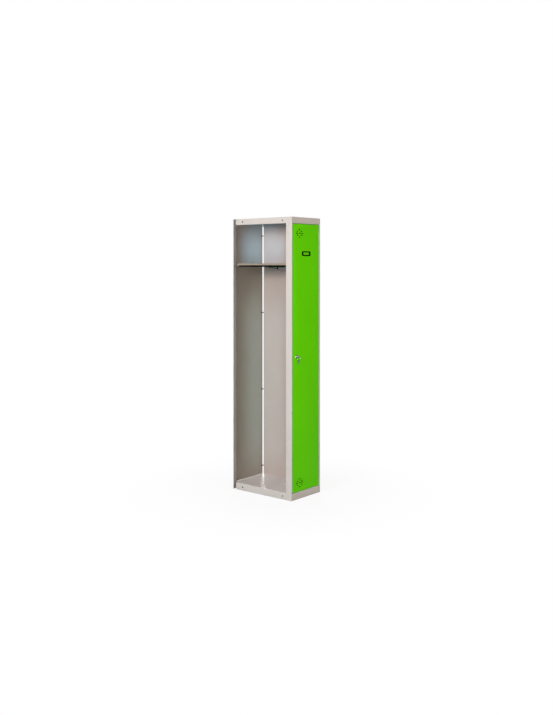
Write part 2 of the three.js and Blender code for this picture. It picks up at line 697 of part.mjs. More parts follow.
// ---- assembly ----
const cabinet = groupAt(0, 0, 0,
  piece("top_panel", topPanel(), "framePaint"),
  piece("bottom_panel", bottomPanel(), "framePaint"),
  piece("front_post_left", leftPost(), "framePaint"),
  piece("front_post_right", rightPost(), "framePaint"),
  piece("rear_post_left", rearPost(), "framePaint"),
  piece("back_panel", backPanel(), "framePaint"),
  piece("right_side_panel", rightSidePanel(), "framePaint"),
  piece("shelf", shelf(), "framePaint"),
  piece("hanging_rail", hangingRail(), "chrome"),
  piece("rail_bracket_left", railBracket(-1), "chrome"),
  piece("rail_bracket_right", railBracket(1), "chrome"),
  piece("rail_clip", railClip(), "blackPlastic"),
  piece("hinge_bush_top", hingeBush(HEIGHT - TOP_RAIL - GAP - PIVOT.rim, -1), "nylon"),
  piece("hinge_bush_bottom", hingeBush(BOTTOM_RAIL + GAP + PIVOT.rim, 1), "nylon"),
  piece("door_buffer_lower", doorBuffer(BUFFER.heights[0]), "rubber"),
  piece("door_buffer_upper", doorBuffer(BUFFER.heights[1]), "rubber"),
  ...shelfClips(),
  ...cornerStraps(),
  ...rearRivets(),
  ...sideRivets(),
);

const door = groupAt(0, 0, 0,
  piece("door_skin", doorSkin(), "doorPaint"),
  piece("door_stiffener", doorStiffener(), "doorPaint"),
  piece("label_holder", labelHolder(), "blackPlastic"),
  piece("hinge_pin_top", hingePin(DOOR.top - SHEET - GAP, 1), "steel"),
  piece("hinge_pin_bottom", hingePin(DOOR.bottom + SHEET + GAP, -1), "steel"),
  lockGroup(),
);

const locker = new THREE.Group();
locker.name = "school_locker";
locker.add(groupAt(-WIDTH / 2, -DEPTH / 2, 0, cabinet, door));

export default locker;
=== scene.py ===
"""School locker, add-on bay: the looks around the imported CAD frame.

Lengths are in metres, and a number times MM is in millimetres. The origin is on the floor in the middle of
the footprint, with X to the right and Y to the back.
"""

import json
import math

import bmesh
import bpy
from mathutils import Matrix, Vector


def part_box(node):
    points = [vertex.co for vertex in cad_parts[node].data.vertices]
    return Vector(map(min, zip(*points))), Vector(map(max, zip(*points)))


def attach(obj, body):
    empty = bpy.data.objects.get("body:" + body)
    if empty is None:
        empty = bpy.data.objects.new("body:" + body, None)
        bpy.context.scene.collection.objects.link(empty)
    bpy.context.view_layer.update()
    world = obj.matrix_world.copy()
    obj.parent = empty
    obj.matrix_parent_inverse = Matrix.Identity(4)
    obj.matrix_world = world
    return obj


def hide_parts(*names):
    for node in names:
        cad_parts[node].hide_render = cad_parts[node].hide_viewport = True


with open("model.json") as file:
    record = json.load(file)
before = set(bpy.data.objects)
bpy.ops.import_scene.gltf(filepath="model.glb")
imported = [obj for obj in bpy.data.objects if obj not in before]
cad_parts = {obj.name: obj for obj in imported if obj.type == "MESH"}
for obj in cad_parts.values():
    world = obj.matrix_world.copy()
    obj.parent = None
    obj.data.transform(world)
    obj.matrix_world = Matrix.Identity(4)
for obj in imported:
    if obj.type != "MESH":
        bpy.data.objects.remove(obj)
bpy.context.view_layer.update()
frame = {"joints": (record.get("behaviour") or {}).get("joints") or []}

MM = 0.001
SHEET = 1.0 * MM
BEND = 1.8 * MM  # outside radius of a fold
BEND_STEPS = 4
EDGE = 0.22 * MM  # rounding of a cut sheet edge
FINE_EDGE = 0.15 * MM  # rounding of small hardware
SHARP = math.radians(35)  # edges that turn more than this are rounded
GAP = 0.3 * MM

# Camera, with its lens shifted down so that upright edges stay upright
CAMERA_PLACE = Vector((-4.404, -3.667, 1.484))
CAMERA_TURN = math.radians(50.23)  # from +Y towards +X
CAMERA_PITCH = math.radians(-0.68)
CAMERA_LENS = 43.58
CAMERA_SENSOR = 36.0
CAMERA_SHIFT = -0.1126

# Light: a dim warm sky, a soft box on the open side with a weak cool one under it, one in front of the door,
# one behind, and two small glows inside that stand for the daylight from the gap at the back
AMBIENT = (0.130, 0.122, 0.112)
ROOM_IN_REFLECTIONS = (0.10, 0.10, 0.11)
FLOOR_FADE = (0.35, 1.1)
FLOOR_WHITE = 0.9
FLOOR_BOUNCE = (0.26, 0.31, 0.35)
WARM = (1.0, 0.97, 0.94)
GLOW_SPREAD = math.radians(100)
LIGHTS = [
    {"name": "key", "place": (-4.5, -0.5, 2.25), "target": (0, 0, 1.0), "size": (1.2, 1.2), "power": 187,
     "colour": (0.98, 0.99, 1.0)},
    {"name": "low_fill", "place": (-3.6, 0.1, 0.4), "target": (0, 0, 0.3), "size": (1.0, 0.5), "power": 20,
     "colour": (0.55, 0.82, 1.0)},
    {"name": "front", "place": (0.2, -4.6, 1.7), "target": (0, 0, 0.9), "size": (0.6, 2.6), "power": 110},
    {"name": "back", "place": (3.2, 3.6, 2.6), "target": (0, 0, 0.9), "size": (2.4, 2.4), "power": 120},
    {"name": "lower_glow", "place": (-0.03, 0.0, 0.70), "target": (0.115, 0.22, 0.70), "size": (0.10, 1.14),
     "power": 0.45, "colour": (0.50, 0.88, 1.0), "hidden": True},
    {"name": "upper_glow", "place": (-0.03, 0.0, 1.60), "target": (0.10, 0.22, 1.60), "size": (0.10, 0.13),
     "power": 0.24, "colour": (0.30, 0.68, 1.0), "hidden": True},
]


# ---- objects
def mesh_from(bm, name):
    """A mesh datablock from a bmesh, with smooth faces."""
    for face in bm.faces:
        face.smooth = True
    mesh = bpy.data.meshes.new(name)
    bm.to_mesh(mesh)
    bm.free()
    return mesh


def new_object(bm, name):
    """An object in the scene, made from a bmesh."""
    obj = bpy.data.objects.new(name, mesh_from(bm, name))
    bpy.context.scene.collection.objects.link(obj)
    return obj


def new_piece(name, bm, body, slot_name, nodes=(), finish=None):
    """A piece that rides on a body and stands for CAD nodes. Its finish is its slot's unless one is given."""
    piece = new_object(bm, name)
    piece.data.materials.append(MATERIALS[finish or slot_name])
    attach(piece, body)
    if nodes:
        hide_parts(*nodes)
    return piece


def baked(obj):
    """Replaces an object's mesh by the result of its modifiers."""
    bpy.context.view_layer.update()
    graph = bpy.context.evaluated_depsgraph_get()
    mesh = bpy.data.meshes.new_from_object(obj.evaluated_get(graph))
    obj.modifiers.clear()
    obj.data = mesh
    return obj


def boolean(obj, bm, operation="DIFFERENCE"):
    """Cuts a bmesh tool out of an object, or joins it on, and keeps the result."""
    tool = new_object(bm, "tool")
    modifier = obj.modifiers.new("boolean", "BOOLEAN")
    modifier.operation = operation
    modifier.solver = "EXACT"
    modifier.object = tool
    baked(obj)
    bpy.data.objects.remove(tool)
    return obj


def rounded_edges(obj, width=EDGE, segments=2):
    """Rounds every sharp edge of an object."""
    bevel = obj.modifiers.new("rounded_edges", "BEVEL")
    bevel.width = width
    bevel.segments = segments
    bevel.limit_method = "ANGLE"
    bevel.angle_limit = SHARP
    bevel.use_clamp_overlap = False
    bevel.harden_normals = True
    bevel.miter_outer = "MITER_ARC"
    return obj


def thicken(obj):
    """Gives a surface its sheet thickness, away from its outer side."""
    solidify = obj.modifiers.new("sheet", "SOLIDIFY")
    solidify.thickness = SHEET
    solidify.offset = -1
    solidify.use_even_offset = True
    return baked(obj)


# ---- surfaces
def rounded_path(corners, radius=BEND):
    """The open path through 2-D corners, with an arc at each inner corner."""
    corners = [Vector(corner) for corner in corners]
    path = [corners[0]]
    for before, corner, after in zip(corners, corners[1:], corners[2:]):
        back, ahead = (before - corner).normalized(), (after - corner).normalized()
        half = back.angle(ahead) / 2
        centre = corner + (back + ahead).normalized() * radius / math.sin(half)
        start = corner + back * radius / math.tan(half) - centre
        end = corner + ahead * radius / math.tan(half) - centre
        sweep = math.atan2(start.cross(end), start.dot(end))
        for step in range(BEND_STEPS + 1):
            path.append(centre + Matrix.Rotation(sweep * step / BEND_STEPS, 2) @ start)
    path.append(corners[-1])
    return path


def strip(bm, path, place, start, end):
    """Quads along a path, swept from a start to an end station. place(u, v, s) gives a point."""
    rows = [[bm.verts.new(place(p.x, p.y, s)) for s in (start, end)] for p in path]
    for (a, b), (c, d) in zip(rows, rows[1:]):
        bm.faces.new((a, b, d, c))


def flat(bm, points):
    """One flat face through 3-D points."""
    bm.faces.new([bm.verts.new(point) for point in points])


def faces_out(bm):
    """Turns all faces the same way round, which is outwards where the surface is closed."""
    bmesh.ops.recalc_face_normals(bm, faces=bm.faces)
    return bm


def outward(bm, reference, direction):
    """Joins doubled points and turns all faces so that the face nearest a point looks along a direction."""
    bmesh.ops.remove_doubles(bm, verts=bm.verts, dist=0.01 * MM)
    faces_out(bm)
    reference, direction = Vector(reference), Vector(direction)
    nearest = min(bm.faces, key=lambda face: (face.calc_center_median() - reference).length)
    if nearest.normal.dot(direction) < 0:
        bmesh.ops.reverse_faces(bm, faces=bm.faces)
    return bm


def full_turn(steps):
    """Evenly spaced angles round a circle."""
    return [2 * math.pi * i / steps for i in range(steps)]


def bridge(bm, first, second):
    """Quads between two closed loops of vertices."""
    for quad in zip(first, first[1:] + first[:1], second[1:] + second[:1], second):
        bm.faces.new(quad)


def cylinder(axis, radius, start, end, centre, segments=32):
    """A closed cylinder along an axis letter, between two stations."""
    bm = bmesh.new()
    bmesh.ops.create_cone(
        bm, cap_ends=True, segments=segments, radius1=radius, radius2=radius, depth=end - start
    )
    turn = {
        "X": Matrix.Rotation(math.pi / 2, 4, "Y"),
        "Y": Matrix.Rotation(-math.pi / 2, 4, "X"),
        "Z": Matrix(),
    }[axis]
    along = Vector([letter == axis for letter in "XYZ"])
    bm.transform(Matrix.Translation(Vector(centre) + along * (start + end) / 2) @ turn)
    return bm


def block(low, high):
    """A closed box between two corners."""
    bm = bmesh.new()
    bmesh.ops.create_cube(bm, size=1)
    low, high = Vector(low), Vector(high)
    size = high - low
    bm.transform(Matrix.Translation((low + high) / 2) @ Matrix.Diagonal((*size, 1)))
    return bm


def along_x(u, v, s):
    return (s, u, v)


def along_y(u, v, s):
    return (u, s, v)


def along_z(u, v, s):
    return (u, v, s)


def prism(outline, place, start, end):
    """A closed prism: a 2-D outline swept between two stations. place(u, v, s) gives a point."""
    bm = bmesh.new()
    near = [bm.verts.new(place(u, v, start)) for u, v in outline]
    far = [bm.verts.new(place(u, v, end)) for u, v in outline]
    bm.faces.new(near)
    bm.faces.new(far[::-1])
    for i in range(len(outline)):
        j = (i + 1) % len(outline)
        bm.faces.new((near[j], near[i], far[i], far[j]))
    return faces_out(bm)


def merged(*parts):
    """Several bmeshes as one."""
    whole = bmesh.new()
    for part in parts:
        mesh = mesh_from(part, "part")
        whole.from_mesh(mesh)
        bpy.data.meshes.remove(mesh)
    return whole


def arc(centre, radius, start, end, steps):
    """Points on an arc, angles in degrees."""
    angles = [math.radians(start + (end - start) * i / steps) for i in range(steps + 1)]
    return [(centre[0] + radius * math.cos(t), centre[1] + radius * math.sin(t)) for t in angles]


def rounded_rectangle(u, v, width, height, radius, steps=6):
    """Outline of a rectangle with round corners about a centre."""
    right, left = u + width / 2 - radius, u - width / 2 + radius
    top, bottom = v + height / 2 - radius, v - height / 2 + radius
    return (
        arc((right, bottom), radius, -90, 0, steps)
        + arc((right, top), radius, 0, 90, steps)
        + arc((left, top), radius, 90, 180, steps)
        + arc((left, bottom), radius, 180, 270, steps)
    )


def lathe(profile, axis_point, axis):
    """A closed profile of (radius, station) points turned about an axis letter through a point."""
    segments = 48
    bm = bmesh.new()
    rings = []
    for radius, station in profile:
        ring = []
        for angle in full_turn(segments):
            u, v = radius * math.cos(angle), radius * math.sin(angle)
            local = {"X": (station, u, v), "Y": (u, station, v), "Z": (u, v, station)}[axis]
            ring.append(bm.verts.new(Vector(axis_point) + Vector(local)))
        rings.append(ring)
    for pair in zip(rings, rings[1:] + rings[:1]):
        bridge(bm, *pair)
    bmesh.ops.remove_doubles(bm, verts=bm.verts, dist=0.001 * MM)
    on_axis = [edge for edge in bm.edges if not edge.link_faces]
    bmesh.ops.delete(bm, geom=on_axis, context="EDGES")
    return faces_out(bm)


# ---- materials
class Nodes:
    """The node tree of a material or a world, with short calls for what the ones below share."""

    def __init__(self, owner):
        self.owner = owner
        owner.use_nodes = True
        self.tree = owner.node_tree
        self.coordinates = self.add("ShaderNodeTexCoord").outputs
        self.place = self.coordinates["Object"]

    def add(self, kind, **values):
        node = self.tree.nodes.new(kind)
        for key, value in values.items():
            setattr(node, key, value)
        return node

    def link(self, output, target):
        self.tree.links.new(output, target)

    def stretched(self, x, y, z):
        """Object coordinates scaled along each axis."""
        mapping = self.add("ShaderNodeMapping")
        mapping.inputs["Scale"].default_value = (x, y, z)
        self.link(self.place, mapping.inputs["Vector"])
        return mapping.outputs["Vector"]

    def noise(self, scale, detail=3.0, roughness=0.5, vector=None):
        """Noise from 0 to 1; scale is in cells a metre."""
        node = self.add("ShaderNodeTexNoise")
        node.inputs["Scale"].default_value = scale
        node.inputs["Detail"].default_value = detail
        node.inputs["Roughness"].default_value = roughness
        self.link(vector or self.place, node.inputs["Vector"])
        return node.outputs["Fac"]

    def ramp(self, value, low, high, to_low=0.0, to_high=1.0):
        """Maps a value from low..high to to_low..to_high."""
        node = self.add("ShaderNodeMapRange")
        for key, number in zip(("From Min", "From Max", "To Min", "To Max"), (low, high, to_low, to_high)):
            node.inputs[key].default_value = number
        self.link(value, node.inputs["Value"])
        return node.outputs["Result"]

    def mix(self, factor, a, b):
        """A colour between a and b, each a colour or an output."""
        node = self.add("ShaderNodeMix", data_type="RGBA")
        self.link(factor, node.inputs["Factor"])
        for value, socket in ((a, node.inputs[6]), (b, node.inputs[7])):
            if isinstance(value, tuple):
                socket.default_value = (*value, 1.0)
            else:
                self.link(value, socket)
        return node.outputs[2]

    def bump(self, height, strength, distance, normal=None):
        """A bumped normal; distance is in metres."""
        node = self.add("ShaderNodeBump")
        node.inputs["Strength"].default_value = strength
        node.inputs["Distance"].default_value = distance
        self.link(height, node.inputs["Height"])
        if normal is not None:
            self.link(normal, node.inputs["Normal"])
        return node.outputs["Normal"]

    def edge_wear_and_highlight(self, radius):
        """1 on convex and concave edges, 0 on flats."""
        bevel = self.add("ShaderNodeBevel", samples=4)
        bevel.inputs["Radius"].default_value = radius
        geometry = self.add("ShaderNodeNewGeometry")
        dot = self.add("ShaderNodeVectorMath", operation="DOT_PRODUCT")
        self.link(bevel.outputs["Normal"], dot.inputs[0])
        self.link(geometry.outputs["Normal"], dot.inputs[1])
        return self.ramp(dot.outputs["Value"], 0.995, 0.86)

    def set(self, name, value):
        """Sets an input of the material's main shader to a value or an output."""
        socket = self.tree.nodes["Principled BSDF"].inputs[name]
        if isinstance(value, bpy.types.NodeSocket):
            self.link(value, socket)
        else:
            socket.default_value = value


def shade(colour, factor):
    return tuple(channel * factor for channel in colour)


def powder_coat(name, colour, edge_wear_and_highlight_tint, roughness, gloss):
    """Semi-gloss powder coat: orange peel, slow waves in the sheet, faint handling marks, lighter edges that
    are partly wear and partly a painted highlight.
    """
    m = Nodes(bpy.data.materials.new(name))
    drift = m.ramp(m.noise(3.5, 2.0), 0.3, 0.7)
    speckle = m.ramp(m.noise(1400.0, 1.0), 0.35, 0.65, 0.0, 0.25)
    tone = m.mix(drift, shade(colour, 0.965), shade(colour, 1.03))
    grain = m.mix(speckle, tone, shade(colour, 0.93))
    # Lighter on convex and concave edges: partly wear, partly a painted highlight.
    edges = m.ramp(m.edge_wear_and_highlight(0.7 * MM), 0.0, 1.0, 0.0, 0.35)
    m.set("Base Color", m.mix(edges, grain, edge_wear_and_highlight_tint))
    smudge = m.noise(7.0, 2.0, 0.35, m.stretched(1.0, 1.0, 0.45))
    m.set("Roughness", m.ramp(smudge, 0.2, 0.8, roughness - 0.02, roughness + 0.05))
    m.set("Specular IOR Level", gloss)
    waves = m.bump(m.noise(2.6, 1.0, 0.4, m.stretched(2.2, 2.2, 0.8)), 1.0, 0.9 * MM)
    m.set("Normal", m.bump(m.noise(620.0, 2.0, 0.5), 0.25, 0.04 * MM, waves))
    return m.owner


def plated(name, colour, roughness, mottle, scratch, metal=1.0):
    """Plated metal: mottled roughness, fine scratches and a slight tint."""
    m = Nodes(bpy.data.materials.new(name))
    cloud = m.noise(mottle, 4.0, 0.6)
    m.set("Base Color", m.mix(m.ramp(cloud, 0.3, 0.7), shade(colour, 0.86), colour))
    m.set("Metallic", metal)
    m.set("Roughness", m.ramp(cloud, 0.3, 0.7, roughness * 0.75, roughness * 1.35))
    lines = m.noise(scratch, 3.0, 0.7, m.stretched(1.0, 0.08, 1.0))
    m.set("Normal", m.bump(lines, 0.2, 0.02 * MM))
    return m.owner


def tube_painted_light_and_shade(name, painted_light, painted_shade, roughness):
    """Polished tube with fine scratches. Its colour is blue-white where it looks up or sideways, a painted
    reflection, and near black underneath, painted shade.
    """
    m = Nodes(bpy.data.materials.new(name))
    normal = m.add("ShaderNodeSeparateXYZ")
    m.link(m.add("ShaderNodeNewGeometry").outputs["Normal"], normal.inputs[0])
    streaks = m.ramp(m.noise(900.0, 3.0, 0.7, m.stretched(0.08, 1.0, 1.0)), 0.3, 0.7, 0.0, 0.2)
    streaked_light = m.mix(streaks, painted_light, shade(painted_light, 0.75))
    # Near black where the surface looks down: painted shade.
    m.set("Base Color", m.mix(m.ramp(normal.outputs["Z"], -0.7, -0.3), painted_shade, streaked_light))
    m.set("Metallic", 1.0)
    m.set("Roughness", roughness)
    m.set("Normal", m.bump(streaks, 0.2, 0.02 * MM))
    return m.owner


def moulded(name, colour, roughness, grain, gloss=0.5):
    """Moulded plastic or rubber: a fine spark-eroded grain."""
    m = Nodes(bpy.data.materials.new(name))
    m.set("Specular IOR Level", gloss)
    m.set("Base Color", m.mix(m.ramp(m.noise(60.0), 0.3, 0.7), shade(colour, 0.8), shade(colour, 1.15)))
    m.set("Roughness", m.ramp(m.noise(180.0, 4.0), 0.3, 0.7, roughness - 0.06, roughness + 0.08))
    m.set("Normal", m.bump(m.noise(grain, 2.0), 0.35, 0.04 * MM))
    return m.owner


# Near black for the hoods behind the vent slots: painted shade that keeps the slots dark
HOOD_PAINTED_SHADE = (0.004, 0.025, 0.0002)
PAINTS = {  # colour, colour of the lighter edges (partly wear, partly a painted highlight), roughness and gloss
    "frame": ((0.64, 0.56, 0.50), (0.76, 0.68, 0.63), 0.24, 0.5),
    # floor: a lighter paint for the upward faces of the bottom pan, painted light
    "floor": ((0.78, 0.69, 0.69), (0.82, 0.74, 0.72), 0.24, 0.5),
    # side and back: darker paints for the inner faces of the side and back sheets, painted shade
    "side": ((0.44, 0.345, 0.305), (0.50, 0.40, 0.36), 0.22, 0.5),
    "back": ((0.45, 0.355, 0.30), (0.52, 0.42, 0.36), 0.22, 0.5),
    # shelf: a darker paint for the whole shelf, painted shade
    "shelf": ((0.30, 0.235, 0.175), (0.38, 0.31, 0.24), 0.26, 0.5),
    "door": ((0.14, 0.71, 0.0005), (0.24, 0.72, 0.03), 0.32, 0.10),
    "hood": (HOOD_PAINTED_SHADE, HOOD_PAINTED_SHADE, 0.5, 0.05),
}
MATERIALS = {f"{name}_paint": powder_coat(f"{name}_powder_coat", *look) for name, look in PAINTS.items()}
MATERIALS |= {
    "zinc_steel": plated("zinc_plated_steel", (0.56, 0.56, 0.55), 0.34, 260.0, 2400.0),
    "black_steel": plated("blackened_steel", (0.035, 0.033, 0.031), 0.45, 300.0, 2000.0),
    "chrome": plated("chrome_plate", (0.78, 0.80, 0.83), 0.10, 90.0, 1500.0),
    # The keys are darkened and tinted purple-grey: painted dark reflection.
    "key_metal_painted_dark": plated("key_metal_painted_dark", (0.27, 0.20, 0.24), 0.34, 120.0, 1800.0, 0.6),
    # The rail's colour is a painted blue-white reflection above and painted shade below.
    "rail_steel": tube_painted_light_and_shade("rail_painted_light_and_shade", (0.72, 0.86, 1.0), (0.02, 0.018, 0.015), 0.25),
    "black_plastic": moulded("moulded_black", (0.001, 0.001, 0.0012), 0.62, 2200.0, 0.02),
    "nylon": moulded("natural_nylon", (0.70, 0.67, 0.60), 0.48, 1800.0),
    "rubber": moulded("black_rubber", (0.02, 0.02, 0.021), 0.75, 1500.0),
}


def sheet_piece(name, bm, body, slot_name, nodes, finish=None):
    """A piece of folded sheet from its outer surface."""
    return thicken(new_piece(name, bm, body, slot_name, nodes, finish))


def solid_piece(name, bm, body, slot_name, nodes, bevel, finish=None):
    """A solid piece with rounded edges."""
    return rounded_edges(new_piece(name, bm, body, slot_name, nodes, finish), bevel)


def paint_light_and_shade_on_faces(piece, finish, direction):
    """Gives the faces that look along a direction a paint of their own: painted light on the bay's floor,
    painted shade on the inner faces of the sheets.
    """
    piece.data.materials.append(MATERIALS[finish])
    for face in piece.data.polygons:
        face.material_index = int(face.normal.dot(Vector(direction)) > 0.5)


def middle_of(node):
    low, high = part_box(node)
    return (low + high) / 2


# ---- cabinet
LOW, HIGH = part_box("top_panel")
LEFT, RIGHT, FRONT, BACK = LOW.x, HIGH.x, LOW.y, HIGH.y
TOP = HIGH.z
TOP_RAIL_FOOT = LOW.z
FLOOR_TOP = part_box("bottom_panel")[1].z
LEFT_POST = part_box("front_post_left")
RIGHT_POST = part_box("front_post_right")
REAR_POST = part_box("rear_post_left")
POST_SIDE = LEFT_POST[1].y
STOP_WIDTH = 12 * MM  # the lip that the lock's cam catches
LATCH_FACE = LEFT_POST[1].x - STOP_WIDTH
HINGE_FACE = RIGHT_POST[0].x
JAMB = 20 * MM
LIP = 10 * MM
FRONT_LIP = 16 * MM
SKIRT_FRONT = POST_SIDE + GAP
SKIRT_BACK = BACK - 25 * MM - GAP
RELIEF = 2.2 * MM  # the notch at a corner where two skirts nearly meet
FIXING_HEIGHTS = [middle_of(f"rear_post_rivet_{i}").z for i in range(1, 5)]
FIXING_Y = middle_of("side_panel_rivet_1").y
FIXING_RADIUS = 2.3 * MM


def pan_surface(top, foot, covers_posts, lips):
    """Outer surface of a panel with skirts on four sides. lips gives the lip depth of each side."""
    bm = bmesh.new()
    drop = top - foot
    spans = {
        "left": (SKIRT_FRONT, SKIRT_BACK),
        "right": (SKIRT_FRONT, BACK - RELIEF),
        "front": (LATCH_FACE + GAP, HINGE_FACE - GAP),
        "rear": (REAR_POST[1].x + GAP, RIGHT - RELIEF),
    }
    places = {
        "left": lambda u, v, s: (LEFT + u, s, top - v),
        "right": lambda u, v, s: (RIGHT - u, s, top - v),
        "front": lambda u, v, s: (s, FRONT + u, top - v),
        "rear": lambda u, v, s: (s, BACK - u, top - v),
    }
    for side, place in places.items():
        corners = [(BEND, 0), (0, 0), (0, drop)]
        if lips[side]:
            corners.append((lips[side], drop))
        strip(bm, rounded_path(corners)[1:], place, *spans[side])
    b = BEND
    out = 0 if covers_posts else b
    if covers_posts:
        rear_left = [(LEFT, BACK), (LEFT, spans["left"][1])]
    else:
        rear_left = [(spans["rear"][0], spans["left"][1])]
    flat(bm, [
        (LEFT + out, FRONT + out, top),
        (spans["front"][0], FRONT + out, top), (spans["front"][0], FRONT + b, top),
        (spans["front"][1], FRONT + b, top), (spans["front"][1], FRONT + out, top),
        (RIGHT - out, FRONT + out, top),
        (RIGHT - out, spans["right"][0], top), (RIGHT - b, spans["right"][0], top),
        (RIGHT - b, spans["right"][1], top), (RIGHT - b, BACK - b, top),
        (spans["rear"][1], BACK - b, top), (spans["rear"][0], BACK - b, top),
        *((x, y, top) for x, y in rear_left), (LEFT + b, spans["left"][1], top),
        (LEFT + b, spans["left"][0], top), (LEFT + out, spans["left"][0], top),
    ])
    return outward(bm, ((LEFT + RIGHT) / 2, (FRONT + BACK) / 2, top), (0, 0, 1))


BOLT_FRONT_Y = FRONT + 74 * MM
BOLT_BACK_Y = BACK - 84 * MM
BOLT_RADIUS = 3.5 * MM
TOP_BOLTS_DOWN = 21 * MM
BOTTOM_BOLTS_UP = 22 * MM
PIVOT = Vector(next(j["pos_m"] for j in frame["joints"] if j["name"] == "door_swing"))
BUSH_SEAT = 4.8 * MM


def skirt_holes(z):
    """The two bolt holes through a left skirt."""
    return merged(*(
        cylinder("X", BOLT_RADIUS, LEFT - MM, LEFT + 3 * MM, (0, y, z)) for y in (BOLT_FRONT_Y, BOLT_BACK_Y)
    ))


def side_holes(x):
    """Fixing holes through an upright flange."""
    return merged(*(
        cylinder("X", FIXING_RADIUS, x - 2 * MM, x + 2 * MM, (0, FIXING_Y, z), 24) for z in FIXING_HEIGHTS
    ))


def make_pan(name, node, surface, bush_hole, bolts_z):
    """A panel with its skirts, its bolt holes and the hole for a hinge bush, which spans two heights."""
    pan = sheet_piece(name, surface, "cabinet", "frame_paint", [node])
    seat = cylinder("Z", BUSH_SEAT, *bush_hole, (PIVOT.x, PIVOT.y, 0))
    return boolean(pan, merged(skirt_holes(bolts_z), seat))


def make_pans():
    """The top panel covers its corner posts; the bottom panel stands between them."""
    lips = {"left": LIP, "right": 0, "front": FRONT_LIP, "rear": 0}
    surface = pan_surface(TOP, TOP_RAIL_FOOT, True, lips)
    bush_hole = (TOP_RAIL_FOOT - MM, TOP_RAIL_FOOT + 2 * MM)
    rounded_edges(make_pan("top_pan", "top_panel", surface, bush_hole, TOP - TOP_BOLTS_DOWN))
    lips = {"left": LIP, "right": LIP, "front": FRONT_LIP, "rear": LIP}
    surface = pan_surface(FLOOR_TOP, 0, False, lips)
    bush_hole = (FLOOR_TOP - 2 * MM, FLOOR_TOP + MM)
    low = make_pan("bottom_pan", "bottom_panel", surface, bush_hole, BOTTOM_BOLTS_UP)
    # The bay's floor, the upward faces of the bottom pan, gets the lighter floor paint: painted light.
    paint_light_and_shade_on_faces(low, "floor_paint", (0, 0, 1))
    rounded_edges(low)


def front_post(name, node, mirror, face, stop):
    """A corner angle with a door jamb between the rails. mirror is 1 on the left and -1 on the right."""
    side = LEFT if mirror > 0 else RIGHT
    place = lambda u, v, s: (side + mirror * u, FRONT + v, s)
    depth = POST_SIDE - FRONT
    jamb_low, jamb_high, top = FLOOR_TOP + MM, TOP_RAIL_FOOT - 0.5 * MM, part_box(node)[1].z
    corners = [(0, depth), (0, 0), (face, 0), (face, JAMB)]
    if stop:
        corners.append((face + stop, JAMB))
    path = rounded_path(corners)
    angle_count = BEND_STEPS + 3  # points up to where the jamb's fold starts
    angle = path[:angle_count]
    bm = bmesh.new()
    for start, end in ((0, jamb_low), (jamb_high, top)):
        strip(bm, angle + [Vector((face, 0))], place, start, end)
    strip(bm, path, place, jamb_low, jamb_high)
    outward(bm, (side, POST_SIDE, 0.9), (-mirror, 0, 0))
    post = sheet_piece(name, bm, "cabinet", "frame_paint", [node])
    boolean(post, side_holes(side))
    rounded_edges(post)


def rear_holes():
    """Fixing holes through the rear post and the back panel."""
    x = middle_of("rear_post_rivet_1").x
    return merged(*(
        cylinder("Y", FIXING_RADIUS, BACK - 8 * MM, BACK + MM, (x, 0, z), 24) for z in FIXING_HEIGHTS
    ))


def make_rear_post():
    """A flat web in front of the back sheet, with a return at its outer edge."""
    low, high = REAR_POST
    path = rounded_path([(low.x, high.y), (low.x, low.y), (high.x, low.y)])
    bm = bmesh.new()
    strip(bm, path, along_z, 0, high.z)
    outward(bm, (high.x, low.y, 0.9), (0, -1, 0))
    post = sheet_piece("rear_post", bm, "cabinet", "frame_paint", ["rear_post_left"])
    boolean(post, rear_holes())
    rounded_edges(post)


def flat_sheet(name, node, inner_shade_paint, inward, tool):
    """A flat sheet with its fixing holes. Its inner side gets a darker paint of its own: painted shade."""
    sheet = new_piece(name, block(*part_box(node)), "cabinet", "frame_paint", [node])
    boolean(sheet, tool)
    paint_light_and_shade_on_faces(sheet, inner_shade_paint, inward)
    rounded_edges(sheet)


def open_box_surface(low, high, open_side, hem=0.0):
    """Surface of a box without one face, its other edges folded round; hem leaves a rim on the open side."""
    bm = block(low, high)
    bm.faces.ensure_lookup_table()
    direction = Vector(open_side)
    gone = max(bm.faces, key=lambda face: face.normal.dot(direction))
    if hem:
        bmesh.ops.inset_region(bm, faces=[gone], thickness=hem, use_even_offset=True)
        gone = max(bm.faces, key=lambda face: (round(face.normal.dot(direction), 4), face.calc_area()))
    rim = set(gone.edges)
    bmesh.ops.delete(bm, geom=[gone], context="FACES_ONLY")
    folds = [edge for edge in bm.edges if edge not in rim and edge.calc_face_angle(0) > 1.0]
    bmesh.ops.bevel(bm, geom=folds, offset=BEND, segments=BEND_STEPS, profile=0.5, affect="EDGES")
    return bm


def make_shelf():
    """A folded tray, open downwards, in a darker paint that is painted shade."""
    low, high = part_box("shelf")
    bm = open_box_surface(low, high, (0, 0, -1))
    outward(bm, (0, 0, high.z), (0, 0, 1))
    # The shelf's darker paint is painted shade.
    rounded_edges(sheet_piece("hat_shelf", bm, "cabinet", "frame_paint", ["shelf"], "shelf_paint"))


DARK_STRIP_WIDTH, DARK_STRIP_HEIGHT, DARK_STRIP_GRIP = 3.6 * MM, 10.5 * MM, 1.5 * MM


